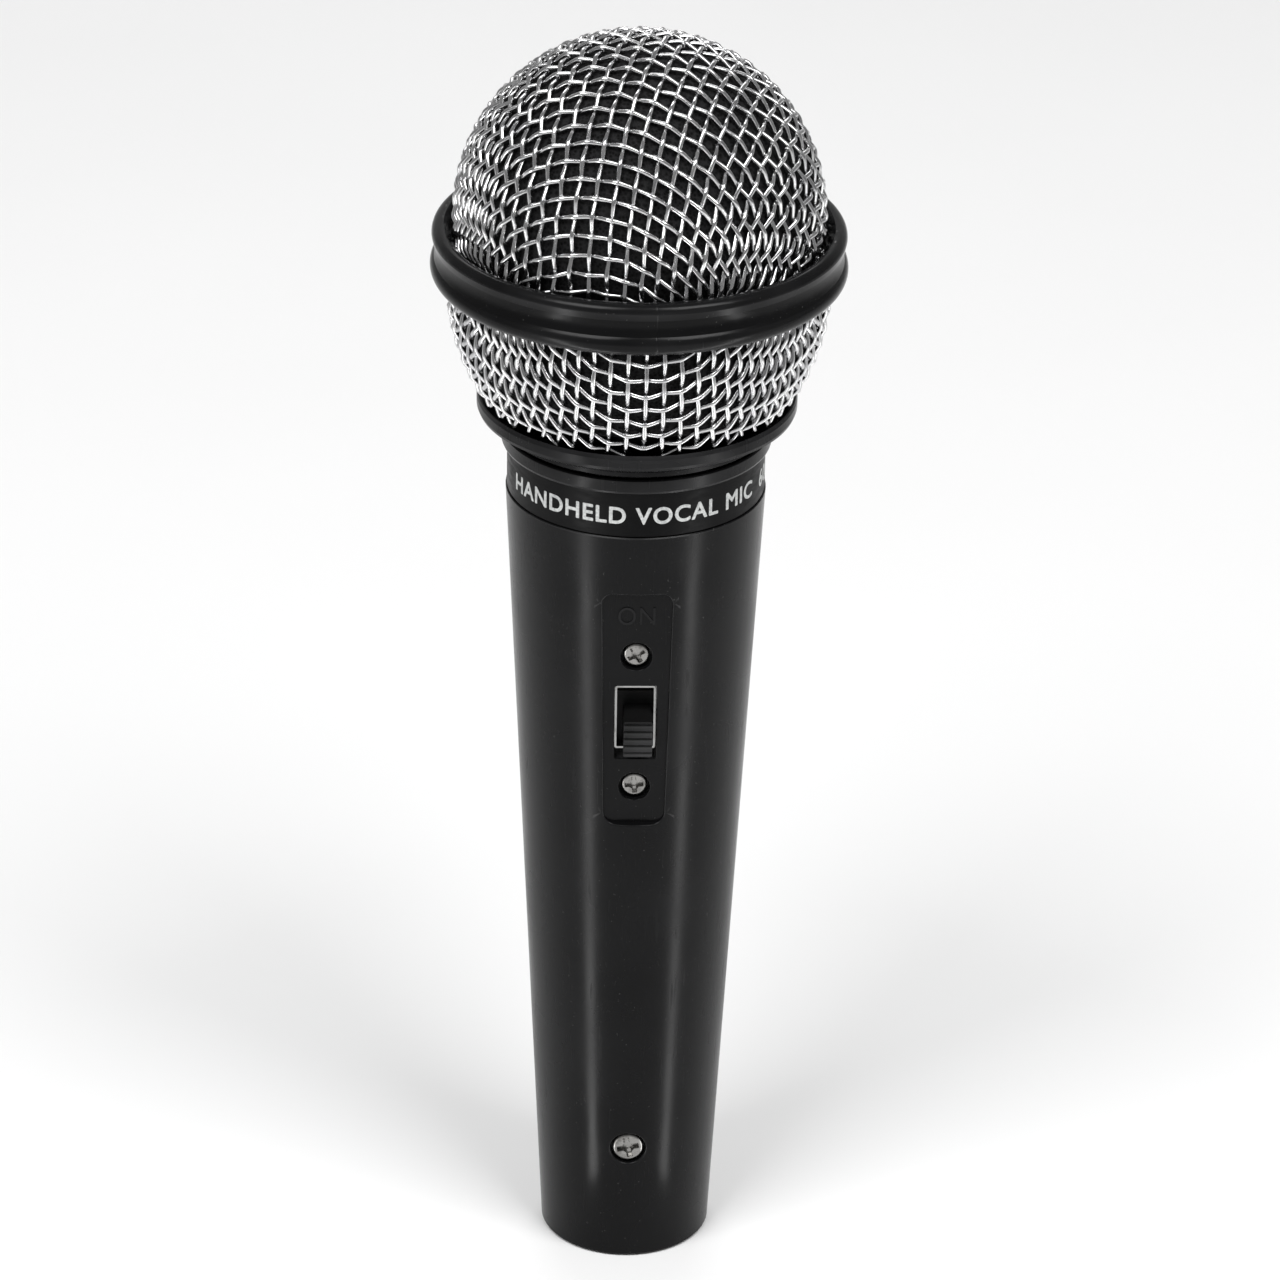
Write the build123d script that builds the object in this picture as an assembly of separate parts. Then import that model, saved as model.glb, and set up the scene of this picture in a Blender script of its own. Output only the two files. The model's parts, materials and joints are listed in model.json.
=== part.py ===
from build123d import *
import math
import os

# Handheld dynamic microphone, standing on its connector end.
# Millimetres, +Z up along the microphone's axis, origin at the centre of the bottom rim.
# The switch side faces -Y.

# --- driving dimensions ---
HANDLE_BOTTOM_R = 11.6
HANDLE_TOP_R = 17.2
HANDLE_TOP_Z = 113.5
NECK_R = 16.85
NECK_TOP_Z = 122.1
NECK_SHOULDER_R = 17.8
NECK_SHOULDER_Z = 119.95
SPIGOT_TOP_Z = 130.0
SPIGOT_R = 15.1
SPIGOT_BORE_R = 13.6
HANDLE_WALL = 2.0
SOCKET_BORE_R = 9.55
SOCKET_BORE_TOP_Z = 22.6

LABEL_Z = (113.65, 119.8)
LABEL_THICKNESS = 0.17

THREAD_PITCH = 1.5
THREAD_TURNS = 3
THREAD_FLANK = 0.35
THREAD_CREST = 0.15
THREAD_START_Z = 123.6
MALE_CREST_R = 15.6
FEMALE_CREST_R = 15.7
FEMALE_ROOT_R = 16.2

GASKET_R = (16.5, 15.9)
COLLAR_BOTTOM_Z = 122.5
COLLAR_FLANGE_R = 17.8
COLLAR_LIP_R = 21.05
COLLAR_LIP_Z = (124.95, 126.95)
COLLAR_CHANNEL_Z = 126.2
COLLAR_SLEEVE_R = 17.7
COLLAR_SLEEVE_TOP_Z = 129.0

MESH_THICKNESS = 1.1
DOME_R = 24.37
DOME_CENTRE_Z = 151.68
DOME_SEAT_Z = 148.3
BASKET_R = 25.2
BASKET_ARC_R = 28.2
BASKET_CENTRE_Z = 142.6
BASKET_Z = (126.3, 145.3)
BAND_R = 27.15
BAND_Z = (143.3, 150.55)
FOAM_GAP = 0.15
DOME_FOAM_THICKNESS = 3.0
BASKET_FOAM_THICKNESS = 2.2
BASKET_FOAM_Z = (129.3, 145.1)

SWITCH_CENTRE_Z = 85.45
POCKET_DEPTH = 0.95
POCKET_V = (-15.35, 19.55)
POCKET_HALF_WIDTH = (3.95, 4.6)
POCKET_CORNER_R = 1.6
POCKET_FLOOR = 2.2
POCKET_EDGE_R = 0.25
WINDOW_SIZE = (5.56, 11.2)
RIM_OUTER = (5.36, 9.5)
RIM_WALL = 0.25
RIM_HEIGHT = 0.85
FRAME_THICKNESS = 0.6
FRAME_SIZE = (7.4, 24.6)
FRAME_CAN_LENGTH = 14.4
FRAME_CAN_DEPTH = 6.0
SWITCH_SCREW_V = 9.93
SWITCH_SCREW_HEAD_R = 1.73
SWITCH_SCREW_HEAD_HEIGHT = 0.9
SWITCH_SCREW_RECESS_R = 2.1
SWITCH_SCREW_SEAT = -1.4
SWITCH_SCREW_SHANK_R = 0.95
SWITCH_SCREW_LENGTH = 3.4
SWITCH_SCREW_TURNS = {-1: 4, 1: 30}
SWITCH_TAGS_V = (-4.2, 0.0, 4.2)
SWITCH_TAG_W = (-12.2, -7.1)
SWITCH_BASE_W = (-8.1, -7.3)
BUTTON_SIZE = (3.8, 5.35)
BUTTON_OFFSET_X = 0.33
BUTTON_LOW_V = -4.3
BUTTON_PROUD = 1.9
BUTTON_RIBS = 5
BUTTON_RIB_PITCH = 1.07
BUTTON_GROOVE_DEPTH = 0.35
BUTTON_CARRIER = (5.8, 9.6, 2.0)
BUTTON_CARRIER_GAP = 0.1

CONNECTOR_SCREW_Z = 18.0
CONNECTOR_SCREW_SEAT_Y = -10.95
CONNECTOR_SCREW_HEAD_R = 2.15
CONNECTOR_SCREW_HEAD_HEIGHT = 1.15
CONNECTOR_SCREW_RECESS_R = 2.42
CONNECTOR_SCREW_SHANK_R = 1.3
CONNECTOR_SCREW_LENGTH = 4.2
CONNECTOR_SCREW_TURN = 12
INSERT_R = 9.5
INSERT_CUP_R = 8.15
INSERT_Z = (0.9, 21.4)
INSERT_WEB_Z = 16.4
INSERT_EDGE = 0.3
KEYWAY_SIZE = (2.6, 1.3, 12.0)
PIN_R = 1.2
PIN_NOSE = 0.8
PIN_SHOULDER_R = 1.5
PIN_CUP_R = 1.35
PIN_CUP_BORE_R = 0.65
PIN_CIRCLE_R = 4.75
PIN_TIP_Z = 2.6
PIN_CUP_TOP_Z = 25.6
PIN_CUP_DEPTH = 2.4
PIN_ANGLES = {"contact_pin_1": 0, "contact_pin_2": 180, "contact_pin_3": 270}

CAPSULE_R = 14.4
REAR_CASE_R = 11.0
REAR_CASE_Z = (119.0, 136.2)
HOUSING_TOP_Z = 148.0
DIAPHRAGM_Z = 145.2
YOKE_R = 10.0
YOKE_TOP_Z = 144.0
MAGNET_R = 7.0
MAGNET_TOP_Z = 142.3
POLE_PLATE_R = 7.3
CASE_FLOOR = 1.6
COIL_R = (7.65, 8.15)
COIL_BOTTOM_Z = 140.4
SHOCK_MOUNT_BOTTOM_Z = 123.8
CAP_HOLE_RINGS = ((1.3, 6.0, 6), (0.9, 10.2, 12))
CAPSULE_TAG_X = 3.5
CAPSULE_TAG_Z = (113.4, 117.6)
TAG_SIZE = (1.6, 0.4)
TAG_SLOT = (1.7, 0.5)
SCREW_CLEARANCE = 0.15

WIRE_R = 0.6
WIRE_LEAD = 4.5
WIRE_END_GAP = 0.02
WIRE_CUP_RUN = 5.5
ROUTE_CAPSULE_TO_SWITCH = ((3.4, 0.6, 106), (1.8, 3.6, 98.5), (0.4, 4.6, 93.2))
ROUTE_CAPSULE_TO_PIN_3 = (
    (-3.8, 0.4, 107),
    (-6.2, 1.8, 96),
    (-7.4, 1.6, 80),
    (-7.2, 0, 64),
    (-5.2, -3.4, 50),
    (-1.6, -5.0, 39),
)
ROUTE_SWITCH_TO_PIN_2 = (
    (-0.8, 4.6, 82.6),
    (-2.2, 5.4, 76),
    (-3.0, 5.0, 64),
    (-4.0, 3.4, 50),
    (-4.8, 1.0, 38.5),
)
ROUTE_SWITCH_TO_PIN_1 = ((1.2, 4.0, 78.6), (2.8, 4.8, 70), (4.4, 3.4, 56), (5.0, 1.0, 42))

TAPER = math.atan2(HANDLE_TOP_R - HANDLE_BOTTOM_R, HANDLE_TOP_Z)


def handle_radius(z):
    """Outer radius of the tapered handle at height z."""
    return HANDLE_BOTTOM_R + z * math.tan(TAPER)


# The switch is laid out on the pocket's floor: x to the right, y up along the taper, z outward.
SWITCH_PLANE = Plane(
    origin=(0, POCKET_DEPTH / math.cos(TAPER) - handle_radius(SWITCH_CENTRE_Z), SWITCH_CENTRE_Z),
    x_dir=(1, 0, 0),
    z_dir=(0, -math.cos(TAPER), -math.sin(TAPER)),
)


def turned(*edges):
    """Solid of revolution about Z from the closed outline of edges in the (radius, z) plane."""
    return revolve(Plane.XZ * make_face(edges), axis=Axis.Z)


def turned_points(points):
    """Solid of revolution about Z from a closed polygon of (radius, z) points."""
    return turned(Polyline(*points, close=True))


def tube(outer_r, inner_r, low_z, high_z):
    """Plain tube about Z."""
    return turned_points([(inner_r, low_z), (outer_r, low_z), (outer_r, high_z), (inner_r, high_z)])


def cylinder_up(radius, height):
    """Cylinder standing on z = 0."""
    return Cylinder(radius, height, align=(Align.CENTER, Align.CENTER, Align.MIN))


def cylinder_down(radius, height):
    """Cylinder hanging from z = 0."""
    return Cylinder(radius, height, align=(Align.CENTER, Align.CENTER, Align.MAX))


def box_up(width, length, height):
    """Block standing on z = 0."""
    return Box(width, length, height, align=(Align.CENTER, Align.CENTER, Align.MIN))


def disc(radius, low_z, high_z):
    """Plain disc about Z."""
    return Pos(0, 0, low_z) * cylinder_up(radius, high_z - low_z)


def thread_outline(root_r, crest_r):
    """Ring-shaped thread teeth from the start of the thread upwards."""
    flank = THREAD_PITCH * THREAD_FLANK
    crest = THREAD_PITCH * THREAD_CREST
    points = []
    for turn in range(THREAD_TURNS):
        low = THREAD_START_Z + turn * THREAD_PITCH
        points.append((root_r, low))
        points.append((crest_r, low + flank))
        points.append((crest_r, low + flank + crest))
        points.append((root_r, low + flank * 2 + crest))
    return points


def slab(width, length, low, high, x=0.0, y=0.0):
    """Block on the switch plane, between two heights above the pocket floor."""
    return SWITCH_PLANE * Pos(x, y, low) * box_up(width, length, high - low)


def switch_rod(radius, low, high, y=0.0):
    """Cylinder on the switch plane, between two heights above the pocket floor."""
    return SWITCH_PLANE * Pos(0, y, low) * cylinder_up(radius, high - low)


def cross_recess(size, depth):
    """Cross recess cut downwards from z = 0."""
    slot_share = 0.27
    hub_share = 0.27
    hub_depth = depth * 1.3
    draft = 14
    slot = extrude(Rectangle(size, size * slot_share), amount=-depth, taper=draft)
    hub = extrude(Circle(size * hub_share), amount=-hub_depth, taper=draft)
    return slot + Rot(0, 0, 90) * slot + hub


def pan_screw(head_r, head_h, shank_r, length):
    """Cross-recessed pan-head screw: head underside at z = 0, shank downwards."""
    crown = head_h * 0.45
    recess_size = head_r * 1.42
    recess_depth = head_h * 0.6
    head = cylinder_up(head_r, head_h)
    head = fillet(head.edges().group_by(Axis.Z)[-1], crown)
    shank = cylinder_down(shank_r, length)
    shank = chamfer(shank.edges().group_by(Axis.Z)[0], shank_r / 2)
    return head + shank - Pos(0, 0, head_h) * cross_recess(recess_size, recess_depth)


# --- handle ---
def handle_shell():
    """Tapered tube with its neck, threaded spigot and connector bore."""
    edge = 0.4
    rim = 0.12
    neck_edge = 0.2
    shoulder_edge = 0.45
    spigot_bore_low_z = 115.0
    cone_bore_z = (SOCKET_BORE_TOP_Z + 2, 111.0)
    low_bore, high_bore = (handle_radius(z) - HANDLE_WALL for z in cone_bore_z)
    outline = [
        (SOCKET_BORE_R + edge, 0),
        (HANDLE_BOTTOM_R - edge, 0),
        (handle_radius(edge), edge),
        (handle_radius(HANDLE_TOP_Z - rim), HANDLE_TOP_Z - rim),
        (HANDLE_TOP_R - rim, HANDLE_TOP_Z),
        (NECK_R, HANDLE_TOP_Z),
        (NECK_R, NECK_SHOULDER_Z),
        (NECK_SHOULDER_R - shoulder_edge, NECK_SHOULDER_Z),
        (NECK_SHOULDER_R - shoulder_edge * 0.3, NECK_SHOULDER_Z + shoulder_edge * 0.3),
        (NECK_SHOULDER_R, NECK_SHOULDER_Z + shoulder_edge),
        (NECK_SHOULDER_R, NECK_TOP_Z - neck_edge),
        (NECK_SHOULDER_R - neck_edge, NECK_TOP_Z),
        (SPIGOT_R, NECK_TOP_Z),
        *thread_outline(SPIGOT_R, MALE_CREST_R),
        (SPIGOT_R, SPIGOT_TOP_Z - edge),
        (SPIGOT_R - edge, SPIGOT_TOP_Z),
        (SPIGOT_BORE_R, SPIGOT_TOP_Z),
        (SPIGOT_BORE_R, spigot_bore_low_z),
        (high_bore, cone_bore_z[1]),
        (low_bore, cone_bore_z[0]),
        (SOCKET_BORE_R, SOCKET_BORE_TOP_Z),
        (SOCKET_BORE_R, edge),
    ]
    return turned_points(outline)


def switch_pad():
    """Flat-faced thickening inside the handle that backs the switch pocket."""
    width, length, centre_v = 14, 39, 2.0
    low_z, high_z = 60, 112
    inset = 1
    pad = slab(width, length, -POCKET_FLOOR, POCKET_DEPTH, y=centre_v)
    core = turned_points(
        [
            (0, low_z),
            (handle_radius(low_z) - inset, low_z),
            (handle_radius(high_z) - inset, high_z),
            (0, high_z),
        ]
    )
    return pad & core


def switch_pocket():
    """Rounded, slightly tapered recess around the switch, with drafted walls."""
    above_handle = 3
    draft = -8
    low_w, high_w = POCKET_HALF_WIDTH
    low_v, high_v = POCKET_V
    outline = Polyline((-low_w, low_v), (low_w, low_v), (high_w, high_v), (-high_w, high_v), close=True)
    face = make_face(outline)
    face = fillet(face.vertices(), POCKET_CORNER_R)
    return SWITCH_PLANE * extrude(face, amount=above_handle, taper=draft)


def sample_points(edge):
    """Five points spread along an edge."""
    return [edge @ (step / 4) for step in range(5)]


def lies_on_taper(edge):
    """True for the rims that the front pocket and the lower screw's recess leave on the tapered surface."""
    near = 0.06
    half_width = 6
    low_z, high_z = 5, 108
    return all(
        abs(math.hypot(p.X, p.Y) - handle_radius(p.Z)) < near
        and abs(p.X) < half_width
        and p.Y < 0
        and low_z < p.Z < high_z
        for p in sample_points(edge)
    )


def opens_on_pocket_floor(edge):
    """True for the rims of the window and the screw recesses on the pocket's floor."""
    near = 0.001
    half_width, half_length = 3, 13
    points = [SWITCH_PLANE.to_local_coords(p) for p in sample_points(edge)]
    return all(abs(p.Z) < near and abs(p.X) < half_width and abs(p.Y) < half_length for p in points)


def connector_screw_plane():
    """Seat of the lower screw: z out of the handle's front."""
    return Plane((0, CONNECTOR_SCREW_SEAT_Y, CONNECTOR_SCREW_Z), x_dir=(1, 0, 0), z_dir=(0, -1, 0))


def handle_body():
    """Moulded handle with the switch pocket, its window and screw holes, and the lower screw's hole."""
    above = 2
    below = -POCKET_FLOOR - 1
    window_corner_r = 0.35
    body = handle_shell() + switch_pad() - switch_pocket()
    window = Rectangle(*WINDOW_SIZE)
    window = fillet(window.vertices(), window_corner_r)
    body -= SWITCH_PLANE * Pos(0, 0, below) * extrude(window, amount=above - below)
    for side in (-1, 1):
        y = side * SWITCH_SCREW_V
        body -= switch_rod(SWITCH_SCREW_RECESS_R, SWITCH_SCREW_SEAT, above, y=y)
        body -= switch_rod(SWITCH_SCREW_SHANK_R + SCREW_CLEARANCE, below, above, y=y)
    body -= connector_screw_plane() * cylinder_up(CONNECTOR_SCREW_RECESS_R, above)
    body -= connector_screw_plane() * Cylinder(CONNECTOR_SCREW_SHANK_R + SCREW_CLEARANCE, above * 2)
    body = fillet(body.edges().filter_by(lies_on_taper), POCKET_EDGE_R)
    return fillet(body.edges().filter_by(opens_on_pocket_floor), POCKET_EDGE_R / 2)


def label_band():
    """Printed band wrapped round the neck."""
    edge = 0.05
    low, high = LABEL_Z
    outer = NECK_R + LABEL_THICKNESS
    return turned_points(
        [
            (NECK_R, low),
            (outer - edge, low),
            (outer, low + edge),
            (outer, high - edge),
            (outer - edge, high),
            (NECK_R, high),
        ]
    )


def neck_gasket():
    """Rubber washer under the grille's collar."""
    gap = 0.02
    outer_r, inner_r = GASKET_R
    return tube(outer_r, inner_r, NECK_TOP_Z + gap, COLLAR_BOTTOM_Z - gap)


# --- grille ---
def grille_collar():
    """Flared plastic collar: thread inside, flange below, lip round the mesh."""
    bevel = 0.15
    thread_offset = 0.05
    flange_top_z = COLLAR_BOTTOM_Z + 0.85
    waist_z = COLLAR_BOTTOM_Z + 0.95
    flare_z = COLLAR_BOTTOM_Z + 1.3
    lip_low, lip_high = COLLAR_LIP_Z
    lip_inner_r = COLLAR_LIP_R - 0.4
    teeth = [(r, z + thread_offset) for r, z in reversed(thread_outline(FEMALE_ROOT_R, FEMALE_CREST_R))]
    outline = [
        (FEMALE_ROOT_R, COLLAR_BOTTOM_Z),
        (COLLAR_FLANGE_R - bevel, COLLAR_BOTTOM_Z),
        (COLLAR_FLANGE_R, COLLAR_BOTTOM_Z + bevel),
        (COLLAR_FLANGE_R, flange_top_z - bevel),
        (COLLAR_FLANGE_R - bevel, flange_top_z),
        (COLLAR_FLANGE_R - 0.3, waist_z),
        (COLLAR_FLANGE_R + 1.2, flare_z),
        (COLLAR_LIP_R - 0.75, lip_low - 0.45),
        (COLLAR_LIP_R - 0.2, lip_low - 0.1),
        (COLLAR_LIP_R, lip_low + 0.4),
        (COLLAR_LIP_R, lip_high - 0.5),
        (COLLAR_LIP_R - bevel, lip_high - 0.1),
        (lip_inner_r + 0.1, lip_high),
        (lip_inner_r, lip_high - 0.1),
        (lip_inner_r, COLLAR_CHANNEL_Z),
        (COLLAR_SLEEVE_R, COLLAR_CHANNEL_Z),
        (COLLAR_SLEEVE_R, COLLAR_SLEEVE_TOP_Z),
        (FEMALE_ROOT_R, COLLAR_SLEEVE_TOP_Z),
        *teeth,
    ]
    return turned_points(outline)


def mesh_bowl(depth_out, depth_in, low_z, high_z):
    """Shell following the lower bowl, between two depths inside its outer surface."""
    centre_r = BASKET_R - BASKET_ARC_R

    def arc(depth):
        radius = BASKET_ARC_R - depth
        below = math.degrees(math.asin((BASKET_CENTRE_Z - low_z) / radius))
        return CenterArc((centre_r, BASKET_CENTRE_Z), radius, -below, below)

    outer = arc(depth_out)
    inner = arc(depth_in)
    top_outer = (BASKET_R - depth_out, high_z)
    top_inner = (BASKET_R - depth_in, high_z)
    return turned(
        outer,
        Line(outer @ 1, top_outer),
        Line(top_outer, top_inner),
        Line(top_inner, inner @ 1),
        inner,
        Line(inner @ 0, outer @ 0),
    )


def mesh_dome(depth_out, depth_in, low_z):
    """Shell following the upper dome, between two depths inside its outer surface."""
    outer_r = DOME_R - depth_out
    inner_r = DOME_R - depth_in
    centre = (0, DOME_CENTRE_Z)
    return turned(
        CenterArc(centre, outer_r, 0, 90),
        Line((0, DOME_CENTRE_Z + outer_r), (0, DOME_CENTRE_Z + inner_r)),
        CenterArc(centre, inner_r, 0, 90),
        Line((inner_r, DOME_CENTRE_Z), (inner_r, low_z)),
        Line((inner_r, low_z), (outer_r, low_z)),
        Line((outer_r, low_z), (outer_r, DOME_CENTRE_Z)),
    )


def grille_band():
    """Black band that joins the two mesh halves: two beads with a flat between them."""
    low, high = BAND_Z
    seat_z = BASKET_Z[1]
    dome_r = DOME_R + 0.1
    bowl_r = BASKET_R + 0.05
    inner_r = DOME_R - MESH_THICKNESS - 0.35
    lead_in = (dome_r, high - 1.0)
    top_start = (dome_r + 0.9, high - 0.1)
    top_crown = (BAND_R - 0.62, high - 0.35)
    top_end = (BAND_R - 0.2, high - 1.2)
    groove_top = (BAND_R - 0.38, high - 2.1)
    groove_floor = (BAND_R - 0.8, high - 2.2)
    flat_middle = (BAND_R - 0.82, high - 3.2)
    bead_start = (BAND_R - 0.5, high - 4.4)
    bead_crown = (BAND_R, low + 1.5)
    bead_end = (BAND_R - 0.75, low + 0.35)
    foot = (bowl_r + 0.2, low)
    foot_inner = (bowl_r, low + 0.1)
    return turned(
        Line((dome_r, DOME_SEAT_Z), lead_in),
        Line(lead_in, top_start),
        ThreePointArc(top_start, top_crown, top_end),
        Line(top_end, groove_top),
        Line(groove_top, groove_floor),
        ThreePointArc(groove_floor, flat_middle, bead_start),
        ThreePointArc(bead_start, bead_crown, bead_end),
        Line(bead_end, foot),
        Line(foot, foot_inner),
        Line(foot_inner, (bowl_r, seat_z)),
        Line((bowl_r, seat_z), (inner_r, seat_z)),
        Line((inner_r, seat_z), (inner_r, DOME_SEAT_Z)),
        Line((inner_r, DOME_SEAT_Z), (dome_r, DOME_SEAT_Z)),
    )


# --- capsule ---
def shock_mount():
    """Rubber ring that holds the capsule in the mouth of the spigot."""
    gap = 0.05
    shoulder_z = SPIGOT_TOP_Z + 1.8
    crown_z = SPIGOT_TOP_Z + 2.4
    bead_z = (SPIGOT_TOP_Z + 3.6, SPIGOT_TOP_Z + 4.2)
    waist_r = REAR_CASE_R + 1.4
    bead_r = REAR_CASE_R + 1.9
    top_z = REAR_CASE_Z[1] - 0.1
    return turned_points(
        [
            (REAR_CASE_R + gap, SHOCK_MOUNT_BOTTOM_Z),
            (SPIGOT_BORE_R - gap, SHOCK_MOUNT_BOTTOM_Z),
            (SPIGOT_BORE_R - gap, SPIGOT_TOP_Z),
            (SPIGOT_R - 0.1, SPIGOT_TOP_Z),
            (SPIGOT_R - 0.1, shoulder_z),
            (SPIGOT_R - 0.7, crown_z),
            (waist_r, crown_z),
            (waist_r, bead_z[0]),
            (bead_r, bead_z[1]),
            (bead_r, top_z),
            (REAR_CASE_R + gap, top_z),
        ]
    )


def capsule_rear_case():
    """Cup that closes the air chamber behind the magnet."""
    low, high = REAR_CASE_Z
    edge = 0.5
    inner_r = REAR_CASE_R - CASE_FLOOR
    floor_z = low + CASE_FLOOR
    return turned_points(
        [
            (0, low),
            (REAR_CASE_R - edge, low),
            (REAR_CASE_R, low + edge),
            (REAR_CASE_R, high),
            (inner_r, high),
            (inner_r, floor_z),
            (0, floor_z),
        ]
    )


def capsule_housing():
    """Plastic frame round the magnet system, with the diaphragm's ledge."""
    edge = 0.6
    low = REAR_CASE_Z[1]
    inner_r = YOKE_R + 0.05
    ledge_inner_r = 11.6
    ledge_outer_r = 13.3
    ledge_low_z = DIAPHRAGM_Z - 2.0
    return turned_points(
        [
            (inner_r, low),
            (CAPSULE_R - edge, low),
            (CAPSULE_R, low + edge),
            (CAPSULE_R, HOUSING_TOP_Z),
            (ledge_outer_r, HOUSING_TOP_Z),
            (ledge_outer_r, DIAPHRAGM_Z),
            (ledge_inner_r, DIAPHRAGM_Z),
            (ledge_inner_r, ledge_low_z),
            (inner_r, ledge_low_z),
        ]
    )


def capsule_yoke():
    """Steel pot that returns the magnet's field to the gap."""
    low = REAR_CASE_Z[1]
    wall = 1.5
    inner_r = YOKE_R - wall
    floor_z = low + CASE_FLOOR
    return turned_points(
        [
            (0, low),
            (YOKE_R, low),
            (YOKE_R, YOKE_TOP_Z),
            (inner_r, YOKE_TOP_Z),
            (inner_r, floor_z),
            (0, floor_z),
        ]
    )


def capsule_diaphragm():
    """Thin formed film: centre dome, rolled surround and flat rim."""
    film = 0.2
    z = DIAPHRAGM_Z
    dome_rise = 1.9
    roll_rise = 1.0
    flat_r = COIL_R[1] + 0.15
    rim_inner_r, rim_outer_r = 11.9, 13.2
    dome_shoulder = (flat_r * 0.55, z + dome_rise * 0.72)
    roll_top = ((flat_r + rim_inner_r) / 2, z + roll_rise)
    under = [
        ThreePointArc((0, z + dome_rise), dome_shoulder, (COIL_R[0], z)),
        Line((COIL_R[0], z), (flat_r, z)),
        ThreePointArc((flat_r, z), roll_top, (rim_inner_r, z)),
        Line((rim_inner_r, z), (rim_outer_r, z)),
    ]
    over = [Pos(0, film) * edge for edge in under]
    centre_side = Line((0, z + dome_rise), (0, z + dome_rise + film))
    rim_side = Line((rim_outer_r, z), (rim_outer_r, z + film))
    return turned(*under, *over, centre_side, rim_side)


def capsule_front_cap():
    """Perforated resonator cap over the diaphragm."""
    low = HOUSING_TOP_Z
    bevel = 0.5
    rim_r = 12.0
    crown_r = 9.5
    cap = turned_points(
        [
            (0, low + 0.9),
            (crown_r, low + 0.6),
            (rim_r, low),
            (CAPSULE_R, low),
            (CAPSULE_R, low + 1.0),
            (CAPSULE_R - bevel, low + 1.6),
            (0, low + 1.9),
        ]
    )
    through = 10
    holes = Cylinder(1.4, through)
    for hole_r, ring_r, count in CAP_HOLE_RINGS:
        holes += PolarLocations(ring_r, count) * Cylinder(hole_r, through)
    return cap - Pos(0, 0, low) * holes


def capsule_terminal_board():
    """Board under the rear case that carries the two solder tags."""
    board_r = 8.2
    through = 4
    board = disc(board_r, CAPSULE_TAG_Z[1], REAR_CASE_Z[0])
    for side in (-1, 1):
        board -= Pos(side * CAPSULE_TAG_X, 0, REAR_CASE_Z[0]) * Box(*TAG_SLOT, through)
    return board


def capsule_terminals():
    """Two solder tags, one each side of the board's centre."""
    low = CAPSULE_TAG_Z[0]
    high = REAR_CASE_Z[0] - 0.05
    tag = box_up(*TAG_SIZE, high - low)
    return Compound(children=[Pos(side * CAPSULE_TAG_X, 0, low) * tag for side in (-1, 1)])


# --- switch ---
def switch_frame():
    """Plated steel frame: screwed ears, raised rim round the slot and folded sides."""
    width, length = FRAME_SIZE
    rim_w, rim_l = RIM_OUTER
    rim_corner_r = 0.3
    slot_corner_r = 0.15
    back = -POCKET_FLOOR
    deep = back - FRAME_CAN_DEPTH
    frame = slab(width, length, back - FRAME_THICKNESS, back)
    rim = Rectangle(rim_w, rim_l)
    rim = fillet(rim.vertices(), rim_corner_r)
    frame += SWITCH_PLANE * Pos(0, 0, back) * extrude(rim, amount=RIM_HEIGHT)
    for side in (-1, 1):
        x = side * (width - FRAME_THICKNESS) / 2
        frame += slab(FRAME_THICKNESS, FRAME_CAN_LENGTH, deep, back - FRAME_THICKNESS, x=x)
        hole_y = side * SWITCH_SCREW_V
        frame -= switch_rod(SWITCH_SCREW_SHANK_R + 0.03, deep, back + 1, y=hole_y)
    slot = Rectangle(rim_w - 2 * RIM_WALL, rim_l - 2 * RIM_WALL)
    slot = fillet(slot.vertices(), slot_corner_r)
    return frame - SWITCH_PLANE * Pos(0, 0, deep) * extrude(slot, amount=FRAME_CAN_DEPTH * 2)


def switch_base():
    """Insulating board that closes the back of the switch."""
    low, high = SWITCH_BASE_W
    side_gap = 0.03
    width = FRAME_SIZE[0] - 2 * FRAME_THICKNESS - 2 * side_gap
    board = slab(width, FRAME_CAN_LENGTH, low, high)
    for v in SWITCH_TAGS_V:
        board -= slab(*TAG_SLOT, low - 1, high + 1, y=v)
    return board


def switch_terminals():
    """Three solder tags through the switch's base."""
    return Compound(children=[slab(*TAG_SIZE, *SWITCH_TAG_W, y=v) for v in SWITCH_TAGS_V])


def button_centre_v():
    """Middle of the button along the slot, at rest in the lower position."""
    return BUTTON_LOW_V + BUTTON_SIZE[1] / 2


def switch_button():
    """Ribbed thumb piece with its stem and the wide carrier behind the frame."""
    width, length = BUTTON_SIZE
    carrier_w, carrier_l, carrier_h = BUTTON_CARRIER
    corner_r = 0.25
    edge_r = 0.15
    mid = button_centre_v()
    carrier_top = -POCKET_FLOOR - FRAME_THICKNESS - BUTTON_CARRIER_GAP
    stem_low = carrier_top - 0.5
    face = Rectangle(width, length)
    face = fillet(face.vertices(), corner_r)
    stem = extrude(face, amount=BUTTON_PROUD - stem_low)
    stem = fillet(stem.edges().group_by(Axis.Z)[-1], edge_r)
    stem = Pos(BUTTON_OFFSET_X, mid, stem_low) * stem
    groove_side = BUTTON_GROOVE_DEPTH * math.sqrt(2)
    for rib in range(BUTTON_RIBS):
        v = BUTTON_LOW_V + (rib + 0.5) * BUTTON_RIB_PITCH
        groove = Rot(45, 0, 0) * Box(width + 1, groove_side, groove_side)
        stem -= Pos(BUTTON_OFFSET_X, v, BUTTON_PROUD) * groove
    carrier = slab(carrier_w, carrier_l, carrier_top - carrier_h, carrier_top, y=mid)
    return carrier + SWITCH_PLANE * stem


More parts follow.
